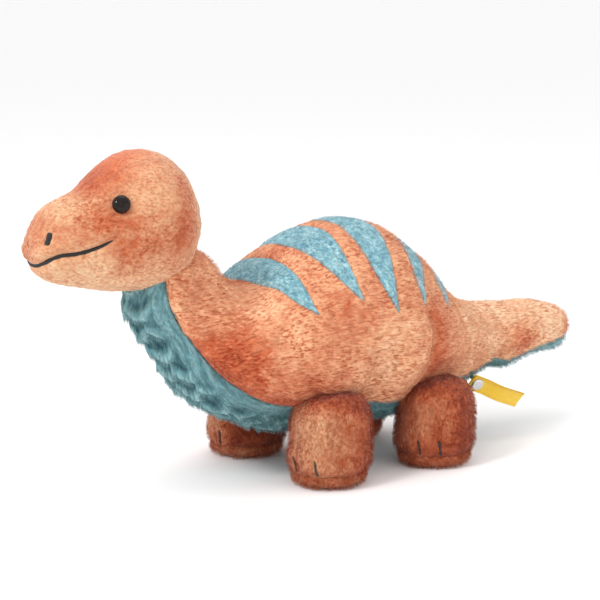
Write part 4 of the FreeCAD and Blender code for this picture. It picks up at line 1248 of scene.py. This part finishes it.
def strokes(nodes, links, colour, stretch, depth):
    """Painted shade in dark strokes where the pile parts, and painted highlights in light ones where it
    catches the light, in drifting patches.
    Green and blue change more than red does."""
    noise = speckle(nodes, links, 1000, stretch, 1.5)
    patch = scaled(nodes, links, speckle(nodes, links, 60, EVEN, 1.0), 0.45, 1.0, 0.35, 0.62)
    for low, high, gain in ((0.49, 0.38, -depth), (0.52, 0.64, 0.35 * depth)):
        share = scaled(nodes, links, noise, 0.0, 1.0, low, high)
        both = nodes.new("ShaderNodeMath")
        both.operation = "MULTIPLY"
        links.new(share, both.inputs[0])
        links.new(patch, both.inputs[1])
        changed = nodes.new("ShaderNodeVectorMath")
        changed.operation = "MULTIPLY"
        changed.inputs[1].default_value = [1 + gain * k for k in (0.55, 1.0, 1.15)]
        links.new(colour, changed.inputs[0])
        swap = nodes.new("ShaderNodeMix")
        swap.data_type = "VECTOR"
        links.new(both.outputs["Value"], swap.inputs["Factor"])
        links.new(colour, swap.inputs[4])
        links.new(changed.outputs["Vector"], swap.inputs[5])
        colour = swap.outputs[1]
    return colour


def cloth_material(name, stretch, sheen, bump, depth):
    """The backing of the pile: the painted tint broken up by strokes of painted shade and highlight and by
    fine strands, with a soft sheen.
    """
    material, nodes, links = new_material(name)
    body = nodes["Principled BSDF"]
    fine = speckle(nodes, links, 1100, stretch)
    colour = strokes(nodes, links, tint_of(nodes), stretch, depth)
    links.new(times(nodes, links, colour, scaled(nodes, links, fine, 0.85, 1.10)), body.inputs["Base Color"])
    links.new(scaled(nodes, links, fine, 0.95, 0.80), body.inputs["Roughness"])
    body.inputs["Sheen Weight"].default_value = sheen
    body.inputs["Sheen Roughness"].default_value = 0.5
    body.inputs["Specular IOR Level"].default_value = 0.15
    roughen(nodes, links, fine, bump, 0.4 * MM)
    return material


def pile_material(name, root, tip, stretch, depth):
    """Strands of pile, darker at the root than at the tip, partly the pile's two tones and partly painted
    shade deep in the pile, in strokes of painted shade and highlight like the backing's.
    """
    material, nodes, links = new_material(name)
    body = nodes["Principled BSDF"]
    strand = nodes.new("ShaderNodeHairInfo")
    # Painted shade at the root of each strand and painted light at its tip, over the pile's own two tones.
    shade = scaled(nodes, links, strand.outputs["Intercept"], root, tip, 0.0, 1.0)
    vary = scaled(nodes, links, strand.outputs["Random"], 0.88, 1.12, 0.0, 1.0)
    colour = strokes(nodes, links, tint_of(nodes), stretch, depth)
    colour = times(nodes, links, times(nodes, links, colour, shade), vary)
    links.new(colour, body.inputs["Base Color"])
    body.inputs["Roughness"].default_value = 0.75
    body.inputs["Specular IOR Level"].default_value = 0.2
    return material


def thread_material():
    material, nodes, links = new_material("black_satin_thread")
    body = nodes["Principled BSDF"]
    fine = speckle(nodes, links, 2600, EVEN)
    colour = times(nodes, links, tint_of(nodes), scaled(nodes, links, fine, 0.6, 1.9))
    links.new(colour, body.inputs["Base Color"])
    links.new(scaled(nodes, links, fine, 0.35, 0.6), body.inputs["Roughness"])
    body.inputs["Sheen Weight"].default_value = 0.15
    return material


def mottled(name, dark, light, roughness, scale, stretch=EVEN, detail=2.0):
    """A hard material whose colour and roughness wander between two values each. Returns its shader too."""
    material, nodes, links = new_material(name)
    body = nodes["Principled BSDF"]
    fine = speckle(nodes, links, scale, stretch, detail)
    ramp = nodes.new("ShaderNodeValToRGB")
    for element, colour in zip(ramp.color_ramp.elements, (dark, light)):
        element.color = (*colour, 1)
    links.new(fine, ramp.inputs["Fac"])
    links.new(ramp.outputs["Color"], body.inputs["Base Color"])
    links.new(scaled(nodes, links, fine, *roughness), body.inputs["Roughness"])
    return material, body


def eye_material():
    """Black moulded plastic, faintly brown in places."""
    material, body = mottled("eye_gloss", (0.004, 0.003, 0.003), (0.018, 0.011, 0.008), (0.05, 0.11),
                             700, detail=4.0)
    body.inputs["IOR"].default_value = 1.3
    return material


def metal_material():
    """Nickel-plated steel, a little worn."""
    material, body = mottled("rivet_nickel", (0.52, 0.53, 0.55), (0.80, 0.81, 0.83), (0.22, 0.38),
                             1600, (1, 1, 3), 3.0)
    body.inputs["Metallic"].default_value = 1.0
    return material


def roughen(nodes, links, noise, strength, distance):
    """A bump that follows the noise."""
    dent = nodes.new("ShaderNodeBump")
    dent.inputs["Strength"].default_value = strength
    dent.inputs["Distance"].default_value = distance
    links.new(noise, dent.inputs["Height"])
    links.new(dent.outputs["Normal"], nodes["Principled BSDF"].inputs["Normal"])


def ribbon_material():
    """Woven ribbon: a fine grain in its colour and relief, and a slight sheen."""
    material, nodes, links = new_material("ribbon_weave")
    body = nodes["Principled BSDF"]
    fine = speckle(nodes, links, 1500, EVEN, 1.0)
    colour = times(nodes, links, tint_of(nodes), scaled(nodes, links, fine, 0.86, 1.06))
    links.new(colour, body.inputs["Base Color"])
    body.inputs["Roughness"].default_value = 0.55
    body.inputs["Sheen Weight"].default_value = 0.3
    roughen(nodes, links, fine, 0.3, 0.1 * MM)
    return material


def dress(pieces, *materials):
    for piece in pieces:
        piece.data.materials.clear()
        for material in materials:
            piece.data.materials.append(material)


for name, pieces, stretch, depth in (("body", body_fabrics, BODY_STRETCH, 0.60),
                                     ("head", head_fabrics, HEAD_STRETCH, 0.42),
                                     ("leg", leg_fabrics, LEG_STRETCH, 0.50)):
    dress(pieces, cloth_material(name + "_backing", stretch, 0.2, 0.6, depth),
          pile_material(name + "_pile", 0.72, 1.10, stretch, depth))
dress(teal_pieces, cloth_material("long_pile_backing", LONG_STRETCH, 0.15, 0.6, 0.25),
      pile_material("long_pile", 0.6, 1.15, LONG_STRETCH, 0.25))
dress(sky_pieces, cloth_material("velour_backing", EVEN, 0.2, 0.5, 0.35),
      pile_material("velour_pile", 0.75, 1.10, EVEN, 0.35))
dress(thread_pieces, thread_material())
dress([ribbon_piece], ribbon_material())
nodes_of = frame["nodes"]
dress([nodes_of["eye_left"], nodes_of["eye_right"]], eye_material())
washer_nylon = mottled("washer_nylon", (0.72, 0.72, 0.70), (0.85, 0.85, 0.83), (0.45, 0.45), 500)[0]
dress([nodes_of["eye_washer_left"], nodes_of["eye_washer_right"]], washer_nylon)
dress([nodes_of["rivet_cap"], nodes_of["rivet_post"]], metal_material())

# ---------------------------------------------------------------- pile

CHILDREN = 8
STRAND_RADIUS = 0.11 * MM


def grow_pile(piece, per_mm2, length, comb, seed, clump=0.35, rough=0.4):
    """Short strands that stand off the outer face of a piece and lean along comb. length is in mm."""
    mesh = piece.data
    area = sum(p.area for p in mesh.polygons[:len(mesh.polygons) // 2]) / MM ** 2
    system = piece.modifiers.new("pile", "PARTICLE_SYSTEM").particle_system
    system.seed = seed
    system.vertex_group_density = "pile"
    system.vertex_group_length = "pile"
    s = system.settings
    s.type = "HAIR"
    s.use_advanced_hair = True
    s.count = int(area * per_mm2 / CHILDREN)
    s.emit_from = "FACE"
    s.use_emit_random = True
    s.use_even_distribution = True
    s.hair_length = length * MM
    s.hair_step = 3
    s.render_step = 2
    s.display_step = 2
    lean = Vector(comb)
    s.normal_factor = 0.25 * length * MM * math.sqrt(max(0.05, 1 - lean.length_squared))
    s.object_align_factor = lean * 0.25 * length * MM
    s.factor_random = 0.25 * length * MM * 0.18
    s.child_type = "INTERPOLATED"
    s.child_percent = 0
    s.rendered_child_count = CHILDREN
    s.clump_factor = clump
    s.clump_shape = 0.2
    s.roughness_1 = rough * MM
    s.roughness_2 = 0.6 * rough * MM
    s.roughness_endpoint = 0.6 * rough * MM
    s.root_radius = 1.0
    s.tip_radius = 0.35
    s.radius_scale = STRAND_RADIUS
    s.material = 2


for number, piece in enumerate(body_fabrics):
    grow_pile(piece, 1.4, 1.7, (0, 0.75, -0.15), 100 + number)
for number, piece in enumerate(head_fabrics):
    grow_pile(piece, 1.6, 1.5, (0, 0.6, -0.1), 110 + number)
for number, piece in enumerate(leg_fabrics):
    grow_pile(piece, 1.6, 2.0, (0, 0, -0.45), 120 + number)
for number, piece in enumerate(teal_pieces):
    grow_pile(piece, 1.6, 2.2, (0, 0.55, -0.65), 200 + number, clump=0.5, rough=0.3)
for number, piece in enumerate(sky_pieces):
    grow_pile(piece, 1.4, 1.0, (0, 0.3, -0.2), 300 + number)

# ---------------------------------------------------------------- studio

def studio_light(name, place, aim, size, power):
    light = bpy.data.lights.new(name, "AREA")
    light.shape = "DISK"
    light.size = size
    light.energy = power
    lamp = bpy.data.objects.new(name, light)
    lamp.location = place
    lamp.rotation_euler = (Vector(aim) - Vector(place)).to_track_quat("-Z", "Y").to_euler()
    SCENE.collection.objects.link(lamp)


FLOOR_HALF = 60
floor_mesh = bpy.data.meshes.new("floor")
corners = [(FLOOR_HALF * x, FLOOR_HALF * y, -0.5 * MM) for x, y in ((-1, -1), (1, -1), (1, 1), (-1, 1))]
floor_mesh.from_pydata(corners, [], [(0, 1, 2, 3)])
floor = bpy.data.objects.new("floor", floor_mesh)
SCENE.collection.objects.link(floor)
floor_material, nodes, links = new_material("studio_floor")
surface = nodes["Principled BSDF"]
surface.inputs["Base Color"].default_value = (0.95, 0.95, 0.95, 1)
surface.inputs["Roughness"].default_value = 0.9
floor.data.materials.append(floor_material)

world = bpy.data.worlds.new("studio")
world.use_nodes = True
world.node_tree.nodes["Background"].inputs["Color"].default_value = (1, 1, 1, 1)
world.node_tree.nodes["Background"].inputs["Strength"].default_value = 1.0
SCENE.world = world
SCENE.view_settings.view_transform = "Standard"

# The camera looks at the middle of the toy from its left front. BACK points from there to the camera.
AIM = Vector((0, -18, 84)) * MM
AZIMUTH, ELEVATION, DISTANCE = math.radians(54), math.radians(10), 0.9
BACK = Vector((math.sin(AZIMUTH) * math.cos(ELEVATION), -math.cos(AZIMUTH) * math.cos(ELEVATION),
               math.sin(ELEVATION)))
SIDEWAYS = Vector((math.cos(AZIMUTH), math.sin(AZIMUTH), 0))
key = AIM + BACK * 0.8 - SIDEWAYS * 0.75 + Vector((0, 0, 0.75))
studio_light("key", key, AIM, 0.35, 8)
studio_light("top", AIM + Vector((0, 0, 1.3)), AIM, 0.9, 3)
studio_light("fill", AIM + BACK * 0.9 + SIDEWAYS * 0.9 + Vector((0, 0, 0.15)), AIM, 0.9, 1.5)

camera_data = bpy.data.cameras.new("camera")
camera_data.lens = 108
camera_data.sensor_width = 36
camera = bpy.data.objects.new("camera", camera_data)
camera.location = AIM + BACK * DISTANCE
camera.rotation_euler = BACK.to_track_quat("Z", "Y").to_euler()
SCENE.collection.objects.link(camera)
SCENE.camera = camera
